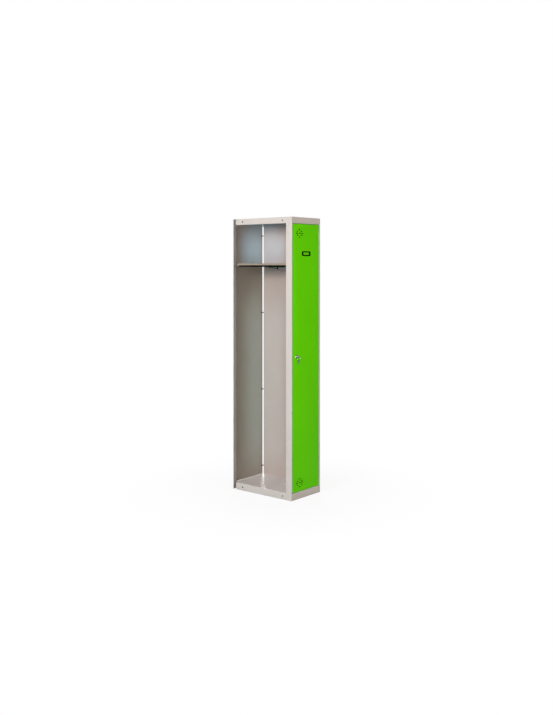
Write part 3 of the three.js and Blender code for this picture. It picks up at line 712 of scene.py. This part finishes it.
def make_dark_edge_strip():
    """A black moulded strip that grips the lower edge of the shelf's open side and makes a dark line under
    its lip.
    """
    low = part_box("shelf")[0]
    x, foot = low.x + SHEET / 2, low.z + DARK_STRIP_GRIP - DARK_STRIP_HEIGHT
    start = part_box("shelf_clip_front_left")[1].y + GAP
    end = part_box("shelf_clip_rear_left")[0].y - GAP
    outline = rounded_rectangle(x, foot + DARK_STRIP_HEIGHT / 2, DARK_STRIP_WIDTH, DARK_STRIP_HEIGHT, 1.2 * MM)
    dark_edge_strip = prism(outline, along_y, start, end)
    guard = new_piece("shelf_dark_edge_strip", dark_edge_strip, "cabinet", "black_plastic")
    groove = SHEET / 2 + 0.05 * MM
    slot = block((x - groove, start - MM, low.z - 0.1 * MM), (x + groove, end + MM, low.z + DARK_STRIP_HEIGHT))
    boolean(guard, slot)
    rounded_edges(guard, FINE_EDGE)


# ---- rail
RAIL_END_Z = 1494.5 * MM
RAIL_HEIGHT = 20 * MM
RAIL_WALL = 0.8 * MM
RAIL_STATIONS = 40


def oval_tube(path, width, height, wall):
    """An oval tube along a path in the X and Z plane, open at both ends."""
    bm = bmesh.new()
    loops = []
    for index, point in enumerate(path):
        before, after = path[max(index - 1, 0)], path[min(index + 1, len(path) - 1)]
        along = (after - before).normalized()
        up = Vector((-along.z, 0, along.x))
        for shrink in (0, wall):
            a, b = width / 2 - shrink, height / 2 - shrink
            loops.append([
                bm.verts.new(point + Vector((0, a * math.cos(t), 0)) + up * b * math.sin(t))
                for t in full_turn(24)
            ])
    outer, inner = loops[0::2], loops[1::2]
    pairs = [*zip(outer, outer[1:]), *zip(inner[1:], inner), (inner[0], outer[0]), (outer[-1], inner[-1])]
    for pair in pairs:
        bridge(bm, *pair)
    return faces_out(bm)


def make_rail():
    """The hanging rail, bowed down to its CAD box's foot in the middle."""
    low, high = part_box("hanging_rail")
    middle = middle_of("hanging_rail")
    drop = RAIL_END_Z - (low.z + RAIL_HEIGHT / 2)
    path = []
    for i in range(RAIL_STATIONS + 1):
        t = 2 * i / RAIL_STATIONS - 1
        z = RAIL_END_Z - drop * (1 - t * t)
        path.append(Vector((middle.x + t * (high.x - low.x) / 2, middle.y, z)))
    bm = oval_tube(path, high.y - low.y, RAIL_HEIGHT, RAIL_WALL)
    solid_piece("coat_rail", bm, "cabinet", "chrome", ["hanging_rail"], FINE_EDGE, "rail_steel")


# ---- door
VENT_X = LEFT + 84 * MM
VENT_HEIGHTS = (102 * MM, 1697 * MM)
VENT_PITCH = 12.7 * MM
SLOT_HEIGHT = 5.5 * MM
SLOT_CORNER = 2.6 * MM
HOOD_DEPTH = 6.5 * MM
HOOD_WALL = 0.8 * MM
HOOD_OVERLAP = 2.2 * MM  # how far a hood reaches below its slot
DOOR_HEM = 12 * MM
LOCK = middle_of("lock_barrel")
LOCK_AXIS = Vector((LOCK.x, 0, LOCK.z))
LOCK_HOLE = 9.4 * MM
PIN_HOLE = 3.2 * MM


def vent_slots():
    """Every slot of both vents as (x, z, length): rows of 1, 2, 3, 2 and 1 slots."""
    rows = {-2: (18, [0]), -1: (18, [-20, 20]), 0: (21, [-27, 0, 27]), 1: (18, [-20, 20]), 2: (18, [0])}
    return [
        (VENT_X + x * MM, centre + row * VENT_PITCH, length * MM)
        for centre in VENT_HEIGHTS
        for row, (length, centres) in rows.items()
        for x in centres
    ]


def vent_hood(x, z, length, face):
    """A scoop pressed in behind a slot: a quarter-round shell, closed at both ends, that opens downwards."""
    top = z + SLOT_HEIGHT / 2 + HOOD_WALL
    foot = z - SLOT_HEIGHT / 2 - HOOD_OVERLAP
    height = top - foot
    quarter = arc((0, 0), 1, 90, 0, 8)
    outer = [(u * HOOD_DEPTH, v * height) for u, v in quarter]
    inner = [(u * (HOOD_DEPTH - HOOD_WALL), v * (height - HOOD_WALL)) for u, v in reversed(quarter)]
    place = lambda u, v, s: (s, face + u, foot + v)
    half = length / 2 + HOOD_WALL
    shell = prism(outer + inner, place, x - half, x + half)
    edges = ((x + side * half, x + side * (half + HOOD_WALL)) for side in (-1, 1))
    return merged(shell, *(prism([(0, 0), *outer], place, *edge) for edge in edges))


def make_door():
    """The door pan with its slots, its lock hole and a pin hole at each end."""
    low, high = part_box("door_skin")
    bm = open_box_surface(low, high, (0, 1, 0), DOOR_HEM)
    outward(bm, ((low.x + high.x) / 2, low.y, 0.9), (0, -1, 0))
    door = sheet_piece("door_panel", bm, "door", "door_paint", ["door_skin"])
    near, far = low.y - MM, low.y + 2 * MM
    tools = [
        prism(rounded_rectangle(x, z, length, SLOT_HEIGHT, SLOT_CORNER), along_y, near, far)
        for x, z, length in vent_slots()
    ]
    tools.append(cylinder("Y", LOCK_HOLE, near, far, LOCK_AXIS, 48))
    for z in (low.z, high.z):
        tools.append(cylinder("Z", PIN_HOLE, z - 2 * MM, z + 2 * MM, (PIVOT.x, PIVOT.y, 0)))
    boolean(door, merged(*tools))
    rounded_edges(door)


def make_vent_hoods():
    """The hoods behind the slots stay a piece of their own, just behind the door's face. Their near-black
    paint is painted shade.
    """
    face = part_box("door_skin")[0].y + SHEET
    hoods = merged(*(vent_hood(x, z, length, face) for x, z, length in vent_slots()))
    new_piece("vent_hoods", hoods, "door", "door_paint", finish="hood_paint")


LABEL_CORNER = 9 * MM
LABEL_WINDOW, WINDOW_CORNER = (60 * MM, 16 * MM), 3 * MM


def make_label_holder():
    """A moulded frame with an empty window."""
    low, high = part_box("label_holder")
    x, z = (low.x + high.x) / 2, (low.z + high.z) / 2
    outline = rounded_rectangle(x, z, high.x - low.x, high.z - low.z, LABEL_CORNER, 8)
    holder = new_piece("label_frame", prism(outline, along_y, low.y, high.y), "door", "black_plastic",
                       ["label_holder"])
    window = rounded_rectangle(x, z, *LABEL_WINDOW, WINDOW_CORNER, 8)
    boolean(holder, prism(window, along_y, low.y - MM, high.y + MM))
    rounded_edges(holder, 0.7 * MM, 3)


# ---- sheet hardware
SMALL_BEND = 1.4 * MM


def folded_strip(name, corners, place, span, up, node, body="cabinet", slot_name="zinc_steel"):
    """A folded strip of sheet. corners are 2-D points of its outer side, which looks along up at its end."""
    bm = bmesh.new()
    path = rounded_path(corners, SMALL_BEND)
    strip(bm, path, place, *span)
    middle = (path[-1] + path[-2]) / 2
    outward(bm, place(middle.x, middle.y, sum(span) / 2), up)
    rounded_edges(sheet_piece(name, bm, body, slot_name, [node]), FINE_EDGE)


def make_shelf_clips():
    """Angle brackets: an upright on a face of the cabinet and an arm under the shelf."""
    for corner in ("front_left", "front_right", "rear_right"):
        node = f"shelf_clip_{corner}"
        low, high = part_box(node)
        face, end = (low.x, high.x) if corner == "front_left" else (high.x, low.x)
        corners = [(face, low.z), (face, high.z), (end, high.z)]
        folded_strip(f"angle_{corner}", corners, along_y, (low.y, high.y), (0, 0, 1), node)
    low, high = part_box("shelf_clip_rear_left")
    corners = [(high.y, low.z), (high.y, high.z), (low.y, high.z)]
    folded_strip("angle_rear_left", corners, along_x, (low.x, high.x), (0, 0, 1), "shelf_clip_rear_left")


def make_straps():
    """Dark straps across the gap at the rear right corner, from the side sheet to the back sheet."""
    for i in range(1, 5):
        low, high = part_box(f"corner_strap_{i}")
        corners = [(high.x, low.y), (high.x, high.y), (low.x, high.y)]
        folded_strip(f"strap_{i}", corners, along_z, (low.z, high.z), (0, 1, 0), f"corner_strap_{i}",
                     slot_name="black_steel")


STIFFENER_FLANGE = 13 * MM


def make_stiffener():
    """A hat section down the inside of the door."""
    low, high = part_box("door_stiffener")
    left, right = low.x + STIFFENER_FLANGE, high.x - STIFFENER_FLANGE
    near, far = low.y, high.y - SHEET
    corners = [(low.x, near), (left, near), (left, far), (right, far), (right, near), (high.x, near)]
    folded_strip("stiffener", corners, along_z, (low.z, high.z), (0, -1, 0), "door_stiffener", "door",
                 "door_paint")


# ---- turned hardware
def turned(profile, axis, node):
    """A turned solid about an axis through a CAD node's middle."""
    return lathe(profile, middle_of(node) * Vector([letter != axis for letter in "XYZ"]), axis)


def turned_piece(name, profile, axis, node, body, slot_name, bevel=FINE_EDGE):
    """A turned piece with rounded edges."""
    return solid_piece(name, turned(profile, axis, node), body, slot_name, [node], bevel)


RIVET_HEAD, RIVET_RISE, RIVET_SHANK = 4 * MM, 1.4 * MM, 2 * MM
MANDREL, DIMPLE = 1.1 * MM, 0.5 * MM


def make_rivet(node, axis):
    """A blind rivet: a domed head at the low end of the axis with its mandrel hole, and a shank."""
    low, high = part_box(node)
    start, end = (low.x, high.x) if axis == "X" else (low.y, high.y)
    dome = [
        (RIVET_HEAD * math.sin(t), start + RIVET_RISE * (1 - math.cos(t)))
        for t in (math.radians(angle) for angle in range(20, 91, 10))
    ]
    profile = [(0, start + DIMPLE), (MANDREL, start + DIMPLE), *dome, (RIVET_SHANK, start + RIVET_RISE),
               (RIVET_SHANK, end - 0.3 * MM), (RIVET_SHANK - 0.3 * MM, end), (0, end)]
    name = node.replace("_rivet_", "_blind_rivet_")
    turned_piece(name, profile, axis, node, "cabinet", "zinc_steel", 0.05 * MM)


def make_hinges():
    """At each end of the door a nylon bush in the frame and a steel pin in the door."""
    bore, sleeve, flange, rim = 3.2 * MM, 4.5 * MM, 6 * MM, 1.3 * MM
    pin, head, head_height = 2.9 * MM, 5 * MM, 3 * MM
    for end, up in (("top", 1), ("bottom", -1)):
        low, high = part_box(f"hinge_bush_{end}")
        face, back = (low.z, high.z) if up > 0 else (high.z, low.z)
        profile = [(bore, face), (flange, face), (flange, face + up * rim), (sleeve, face + up * rim),
                   (sleeve, back), (bore, back)]
        turned_piece(f"bush_{end}", profile, "Z", f"hinge_bush_{end}", "cabinet", "nylon", 0.3 * MM)
        low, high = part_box(f"hinge_pin_{end}")
        inside, tip = (low.z, high.z) if up > 0 else (high.z, low.z)
        shoulder = inside + up * head_height
        profile = [(0, inside), (head - 0.6 * MM, inside), (head, inside + up * 0.6 * MM), (head, shoulder),
                   (pin, shoulder), (pin, tip - up * MM), (pin - 0.8 * MM, tip), (0, tip)]
        turned_piece(f"pin_{end}", profile, "Z", f"hinge_pin_{end}", "door", "zinc_steel")


BUFFER_SHAPE = [  # radius and station, as shares of the whole
    (0, 0), (0.7, 0), (0.94, 0.12), (1, 0.35), (0.86, 0.5), (0.86, 0.62), (1, 0.75), (1, 1), (0, 1),
]


def make_buffers():
    """Rubber stops with a domed nose and a waist."""
    for level in ("lower", "upper"):
        node = f"door_buffer_{level}"
        low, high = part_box(node)
        radius, length = (high.x - low.x) / 2, high.y - low.y
        profile = [(radius * r, low.y + length * t) for r, t in BUFFER_SHAPE]
        turned_piece(f"buffer_{level}", profile, "Y", node, "cabinet", "rubber", 0.1 * MM)


INSERT_LENGTH = 11 * MM
INSERT_RIM = 0.4 * MM


def make_inserts():
    """Dark threaded inserts in the bolt holes of the left skirts, with a thin flange outside. Black and
    closed at the inner end, they also keep the holes dark: painted shade.
    """
    bore, sleeve, flange = 2.8 * MM, 3.3 * MM, 4.9 * MM
    start, end = LEFT - INSERT_RIM, LEFT + INSERT_LENGTH
    profile = [(bore, start), (flange, start), (flange, LEFT), (sleeve, LEFT), (sleeve, end), (0, end),
               (0, end - MM), (bore, end - MM)]
    for level, z in (("top", TOP - TOP_BOLTS_DOWN), ("bottom", BOTTOM_BOLTS_UP)):
        for place, y in (("front", BOLT_FRONT_Y), ("rear", BOLT_BACK_Y)):
            bm = lathe(profile, (0, y, z), "X")
            solid_piece(f"insert_{level}_{place}", bm, "cabinet", "black_steel", [], 0.1 * MM)


# ---- rail fittings
SPIGOT_WIDTH, SPIGOT_HEIGHT = 6.5 * MM, 13 * MM
BRACKET_PLATE, BRACKET_CORNER = 1.4 * MM, 3 * MM
SADDLE_HEIGHT, SADDLE_STEM = 24.6 * MM, 8 * MM
SADDLE_BORE = (11 * MM, 21.6 * MM)


def oval_outline(y, z, width, height):
    return [(y + width / 2 * math.cos(t), z + height / 2 * math.sin(t)) for t in full_turn(40)]


def make_rail_brackets():
    """At each end of the rail a plate with a spigot that fits into the tube."""
    for side, sign in (("left", 1), ("right", -1)):
        node = f"rail_bracket_{side}"
        low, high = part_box(node)
        lip, end = (low.x, high.x) if sign > 0 else (high.x, low.x)
        y, z = (low.y + high.y) / 2, (low.z + high.z) / 2
        outline = rounded_rectangle(y, z, high.y - low.y, high.z - low.z, BRACKET_CORNER)
        plate = prism(outline, along_x, lip, lip + sign * BRACKET_PLATE)
        bracket = new_piece(f"bracket_{side}", plate, "cabinet", "chrome", [node])
        spigot = oval_outline(y, RAIL_END_Z, SPIGOT_WIDTH, SPIGOT_HEIGHT)
        boolean(bracket, prism(spigot, along_x, lip + sign * MM, end), "UNION")
        rounded_edges(bracket, 0.2 * MM)


def make_saddle():
    """A plastic saddle round the rail, with a stem up to the shelf."""
    low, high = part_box("rail_clip")
    y, z = middle_of("rail_clip").y, low.z + SADDLE_HEIGHT / 2
    loop = prism(oval_outline(y, z, high.y - low.y, SADDLE_HEIGHT), along_x, low.x, high.x)
    saddle = new_piece("saddle", loop, "cabinet", "black_plastic", ["rail_clip"])
    half = SADDLE_STEM / 2
    stem = block((low.x, y - half, z + SADDLE_HEIGHT / 2 - 2 * MM), (high.x, y + half, high.z))
    boolean(saddle, stem, "UNION")
    bore = prism(oval_outline(y, z, *SADDLE_BORE), along_x, low.x - MM, high.x + MM)
    boolean(saddle, bore)
    rounded_edges(saddle, 0.4 * MM, 3)


# ---- lock
PLUG_RADIUS = 6 * MM
BARREL_RADIUS = 9 * MM
THREAD_PITCH, THREAD_DEPTH = 1.5 * MM, 0.45 * MM
DRIVE = 3.5 * MM  # half the side of the plug's square end
KEYWAY_HALF, KEYWAY_DEPTH = (1.2 * MM, 3.8 * MM), 16.9 * MM
WARD_REACH, WARD_LOW, WARD_HIGH, WARD_DEPTH = 2.0 * MM, 1.6 * MM, 0.4 * MM, 16 * MM
SCREW_HOLE, SCREW_DEPTH = 2.1 * MM, 5.7 * MM
NUT_RADIUS, NUT_BORE = 14 * MM, 9.3 * MM
CAM_TIP, CAM_HUB, CAM_SQUARE = 6 * MM, 8 * MM, 3.8 * MM  # two radii and half the side of the hole
SCREW_SHANK, SCREW_RISE = 1.8 * MM, 2.5 * MM
RECESS_REACH, RECESS_HALF, RECESS_DEPTH = 3.0 * MM, 0.45 * MM, 1.2 * MM


def bar(across, up, start, end):
    """A closed bar along the lock's axis. across and up are half its width and half its height."""
    return block((LOCK.x - across, start, LOCK.z - up), (LOCK.x + across, end, LOCK.z + up))


def make_barrel():
    """The lock's body: a flange with a raised ring and a sloping rim, and a threaded barrel behind."""
    low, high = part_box("lock_barrel")
    front, flange = low.y, (high.x - low.x) / 2
    bore, shoulder, root = PLUG_RADIUS + GAP, low.y + 2 * MM, BARREL_RADIUS - THREAD_DEPTH
    face = [(0, 0), (0.9, 0), (1.1, 0.35), (2.3, 0.35), (2.5, 0), (3.4, 0), (flange / MM - 6.3, 0.9)]
    profile = [(bore + r * MM, front + t * MM) for r, t in face]
    profile += [(flange, shoulder), (BARREL_RADIUS, shoulder)]
    turns = int((high.y - shoulder - 2 * MM) / THREAD_PITCH)
    for i in range(turns):
        crest = shoulder + MM + (i + 0.5) * THREAD_PITCH
        profile += [(root, crest - THREAD_PITCH / 2), (BARREL_RADIUS, crest)]
    profile += [(root, high.y - 0.5 * MM), (root - THREAD_DEPTH, high.y), (bore, high.y)]
    turned_piece("barrel", profile, "Y", "lock_barrel", "door", "chrome", 0.08 * MM)


def make_plug():
    """The turning core: a warded keyway in front, a square drive and a screw hole behind."""
    low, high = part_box("lock_plug")
    front, back = low.y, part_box("lock_cam")[0].y - GAP
    profile = [(0, front), (PLUG_RADIUS - 0.5 * MM, front), (PLUG_RADIUS, front + 0.5 * MM),
               (PLUG_RADIUS, back), (0, back)]
    plug = new_piece("plug", lathe(profile, LOCK_AXIS, "Y"), "lock_core", "chrome", ["lock_plug"])
    boolean(plug, bar(DRIVE, DRIVE, back - MM, high.y), "UNION")
    keyway = bar(*KEYWAY_HALF, front - MM, front + KEYWAY_DEPTH)
    ward_low = (LOCK.x - WARD_REACH, front - MM, LOCK.z - WARD_LOW)
    ward = block(ward_low, (LOCK.x, front + WARD_DEPTH, LOCK.z - WARD_HIGH))
    screw_hole = cylinder("Y", SCREW_HOLE, high.y - SCREW_DEPTH, high.y + MM, LOCK_AXIS, 24)
    for cut in (keyway, ward, screw_hole):
        boolean(plug, cut)
    rounded_edges(plug, 0.12 * MM)


def make_nut():
    """A hexagonal nut that holds the barrel behind the door."""
    low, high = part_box("lock_nut")
    hexagon = cylinder("Y", NUT_RADIUS, low.y, high.y, LOCK_AXIS, 6)
    nut = new_piece("nut", hexagon, "door", "zinc_steel", ["lock_nut"])
    boolean(nut, cylinder("Y", NUT_BORE, low.y - MM, high.y + MM, LOCK_AXIS, 48))
    rounded_edges(nut, 0.7 * MM, 3)


def make_cam():
    """A flat cam with a square hole, pointing up."""
    low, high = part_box("lock_cam")
    hub, tip = (LOCK.x, LOCK.z), (LOCK.x, high.z - CAM_TIP)
    outline = arc(hub, CAM_HUB, 180, 360, 20) + arc(tip, CAM_TIP, 0, 180, 16)
    cam = new_piece("cam", prism(outline, along_y, low.y, high.y), "lock_core", "zinc_steel", ["lock_cam"])
    boolean(cam, bar(CAM_SQUARE, CAM_SQUARE, low.y - MM, high.y + MM))
    rounded_edges(cam, 0.3 * MM)


def make_screw():
    """The screw that holds the cam: a domed head with a cross recess."""
    low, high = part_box("cam_screw")
    head, shoulder = (high.x - low.x) / 2, high.y - SCREW_RISE
    crown = [(head * math.cos(t), high.y - SCREW_RISE * 0.6 * (1 - math.sin(t))) for t in
             (math.radians(angle) for angle in range(0, 90, 15))]
    profile = [(0, low.y), (SCREW_SHANK - 0.4 * MM, low.y), (SCREW_SHANK, low.y + 0.5 * MM),
               (SCREW_SHANK, shoulder), (head, shoulder), *crown, (0, high.y)]
    screw = new_piece("screw", turned(profile, "Y", "cam_screw"), "lock_core", "zinc_steel", ["cam_screw"])
    for across, up in ((RECESS_REACH, RECESS_HALF), (RECESS_HALF, RECESS_REACH)):
        boolean(screw, bar(across, up, high.y - RECESS_DEPTH, high.y + MM))
    rounded_edges(screw, 0.08 * MM)


# ---- keys
KEY_BOW, KEY_HOLE, KEY_LENGTH, KEY_BLADE = 8 * MM, 3.2 * MM, 22.5 * MM, 3.5 * MM
KEY_CUTS = [(21, 1), (19.5, 2.5), (18, 0), (16, 2), (14, 0), (12, 1.5), (10, 0)]  # station and depth in mm
GROOVE_START, GROOVE_LOW, GROOVE_HIGH = 9 * MM, -1.6 * MM, -0.5 * MM


def make_key(name, node, body, place):
    """A flat cut key. place(u, v, s) puts its length, its height and its thickness in the scene."""
    low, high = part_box(node)
    half = (high.x - low.x) / 2
    neck = math.degrees(math.asin(KEY_BLADE / KEY_BOW))
    bow = arc((0, 0), KEY_BOW, neck, 360 - neck, 40)
    under = [(KEY_LENGTH - 1.5 * MM, -KEY_BLADE), (KEY_LENGTH, 1.5 * MM - KEY_BLADE)]
    outline = bow + under + [(u * MM, KEY_BLADE - depth * MM) for u, depth in KEY_CUTS]
    key = new_piece(name, prism(outline, place, -half, half), body, "chrome", [node], "key_metal_painted_dark")
    hole = prism(arc((0, 0), KEY_HOLE, 0, 345, 23), place, -2 * half, 2 * half)
    boolean(key, hole)
    end = KEY_LENGTH + MM
    groove = [(GROOVE_START, GROOVE_LOW), (end, GROOVE_LOW), (end, GROOVE_HIGH), (GROOVE_START, GROOVE_HIGH)]
    for side in (-1, 1):
        boolean(key, prism(groove, place, side * 0.6 * half, side * 2 * half))
    rounded_edges(key, 0.16 * MM)


RING_STEP = 0.35  # half the angle over which one turn passes into the other, in radians


def make_key_ring():
    """A split ring: two turns of wire side by side, with the step where one passes into the other."""
    low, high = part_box("key_ring")
    centre = middle_of("key_ring")
    wire = (high.y - low.y) / 4
    radius, steps = (high.x - low.x) / 2 - wire, 128
    bm = bmesh.new()
    rings = []
    for i in range(steps + 1):
        angle = 4 * math.pi * i / steps
        shift = wire * 0.96 * max(-1.0, min(1.0, (angle - 2 * math.pi) / RING_STEP))
        out = Vector((math.cos(angle), 0, math.sin(angle)))
        middle = centre + out * radius + Vector((0, shift, 0))
        rings.append([
            bm.verts.new(middle + (out * math.cos(t) + Vector((0, math.sin(t), 0))) * wire * 0.98)
            for t in full_turn(10)
        ])
    for pair in zip(rings, rings[1:]):
        bridge(bm, *pair)
    bm.faces.new(rings[0][::-1])
    bm.faces.new(rings[-1])
    solid_piece("split_ring", faces_out(bm), "ring", "chrome", ["key_ring"], 0.08 * MM)


def make_keys():
    """One key lies along Y in the lock and one hangs from the ring. Each is placed by its bow's middle."""
    low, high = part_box("key")
    x, y, z = (low.x + high.x) / 2, low.y + KEY_BOW, (low.z + high.z) / 2
    make_key("lock_key", "key", "lock_key", lambda u, v, s: (x + s, y + u, z + v))
    low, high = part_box("spare_key")
    a, b, c = (low.x + high.x) / 2, (low.y + high.y) / 2, high.z - KEY_BOW
    make_key("hanging_key", "spare_key", "hanging_key", lambda u, v, s: (a + s, b + v, c - u))
    make_key_ring()


# ---- stage
def make_floor():
    """A pale floor that fades into the white surroundings. It throws little light up at the locker."""
    bm = bmesh.new()
    bmesh.ops.create_grid(bm, x_segments=1, y_segments=1, size=60)
    floor = new_object(bm, "floor")
    m = Nodes(bpy.data.materials.new("pale_floor"))
    seen = m.add("ShaderNodeLightPath").outputs["Is Camera Ray"]
    pale = m.mix(m.ramp(m.noise(1.5), 0.3, 0.7), (0.80, 0.80, 0.80), (0.82, 0.82, 0.82))
    m.set("Base Color", m.mix(seen, FLOOR_BOUNCE, pale))
    m.set("Roughness", 0.7)
    m.set("Specular IOR Level", 0.1)
    length = m.add("ShaderNodeVectorMath", operation="LENGTH")
    m.link(m.place, length.inputs[0])
    fade = m.ramp(length.outputs["Value"], *FLOOR_FADE, FLOOR_WHITE, 1.0)
    share = m.add("ShaderNodeMath", operation="MULTIPLY")
    m.link(fade, share.inputs[0])
    m.link(seen, share.inputs[1])
    glow = m.add("ShaderNodeEmission")
    mixer = m.add("ShaderNodeMixShader")
    m.link(share.outputs[0], mixer.inputs[0])
    m.link(m.tree.nodes["Principled BSDF"].outputs[0], mixer.inputs[1])
    m.link(glow.outputs[0], mixer.inputs[2])
    m.link(mixer.outputs[0], m.tree.nodes["Material Output"].inputs["Surface"])
    floor.data.materials.append(m.owner)


def area_light(name, place, target, size, power, colour=WARM, hidden=False):
    """A soft box that looks at a target, out of sight. A hidden one has a narrow beam and no reflection."""
    light = bpy.data.lights.new(name, "AREA")
    light.shape = "RECTANGLE"
    light.size, light.size_y = size
    light.energy = power
    light.color = colour
    lamp = bpy.data.objects.new(name, light)
    bpy.context.scene.collection.objects.link(lamp)
    lamp.location = place
    lamp.visible_camera = False
    if hidden:
        light.spread = GLOW_SPREAD
        lamp.visible_glossy = False
    lamp.rotation_euler = (Vector(target) - Vector(place)).to_track_quat("-Z", "Y").to_euler()


def make_world():
    """White to the camera, a dim warm light on surfaces, and a bright backdrop in reflections."""
    world = bpy.data.worlds.new("studio")
    bpy.context.scene.world = world
    m = Nodes(world)
    path = m.add("ShaderNodeLightPath")
    direction = m.add("ShaderNodeSeparateXYZ")
    m.link(m.coordinates["Generated"], direction.inputs[0])
    backdrop = m.mix(m.ramp(direction.outputs["Y"], 0.0, 0.5), ROOM_IN_REFLECTIONS, (1.0, 1.0, 1.0))
    reflected = m.mix(path.outputs["Is Glossy Ray"], AMBIENT, backdrop)
    seen = m.mix(path.outputs["Is Camera Ray"], reflected, (1.0, 1.0, 1.0))
    m.link(seen, m.tree.nodes["Background"].inputs["Color"])


def shift_lens(camera, rig):
    """Shifts the lens while the camera stands at its main place, and centres it from anywhere else."""
    shift = camera.driver_add("shift_y").driver
    place = shift.variables.new()
    place.name = "x"
    place.type = "TRANSFORMS"
    place.targets[0].id = rig
    place.targets[0].transform_type = "LOC_X"
    shift.expression = f"{CAMERA_SHIFT} if abs(x - ({CAMERA_PLACE.x:.4f})) < 0.001 else 0"


def make_camera():
    camera = bpy.data.cameras.new("camera")
    camera.lens = CAMERA_LENS
    camera.sensor_width = CAMERA_SENSOR
    camera.clip_end = 200
    rig = bpy.data.objects.new("camera", camera)
    bpy.context.scene.collection.objects.link(rig)
    rig.location = CAMERA_PLACE
    rig.rotation_euler = (math.pi / 2 + CAMERA_PITCH, 0, -CAMERA_TURN)
    shift_lens(camera, rig)
    bpy.context.scene.camera = rig


make_pans()
front_post("left_post", "front_post_left", 1, LATCH_FACE - LEFT, STOP_WIDTH)
front_post("right_post", "front_post_right", -1, RIGHT - HINGE_FACE, 0)
make_rear_post()
# The inner faces of the back and side sheets get darker paints: painted shade.
flat_sheet("back_sheet", "back_panel", "back_paint", (0, -1, 0), rear_holes())
panel_holes = side_holes(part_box("right_side_panel")[0].x)
flat_sheet("side_sheet", "right_side_panel", "side_paint", (-1, 0, 0), panel_holes)
make_shelf()
make_dark_edge_strip()
make_rail()
make_door()
make_vent_hoods()
make_label_holder()
make_shelf_clips()
make_straps()
make_stiffener()
for number in range(1, 5):
    make_rivet(f"rear_post_rivet_{number}", "Y")
    make_rivet(f"side_panel_rivet_{number}", "X")
make_hinges()
make_buffers()
make_inserts()
make_rail_brackets()
make_saddle()
make_barrel()
make_plug()
make_nut()
make_cam()
make_screw()
make_keys()
make_floor()
make_world()
for light in LIGHTS:
    area_light(**light)
make_camera()
bpy.context.scene.view_settings.view_transform = "Standard"
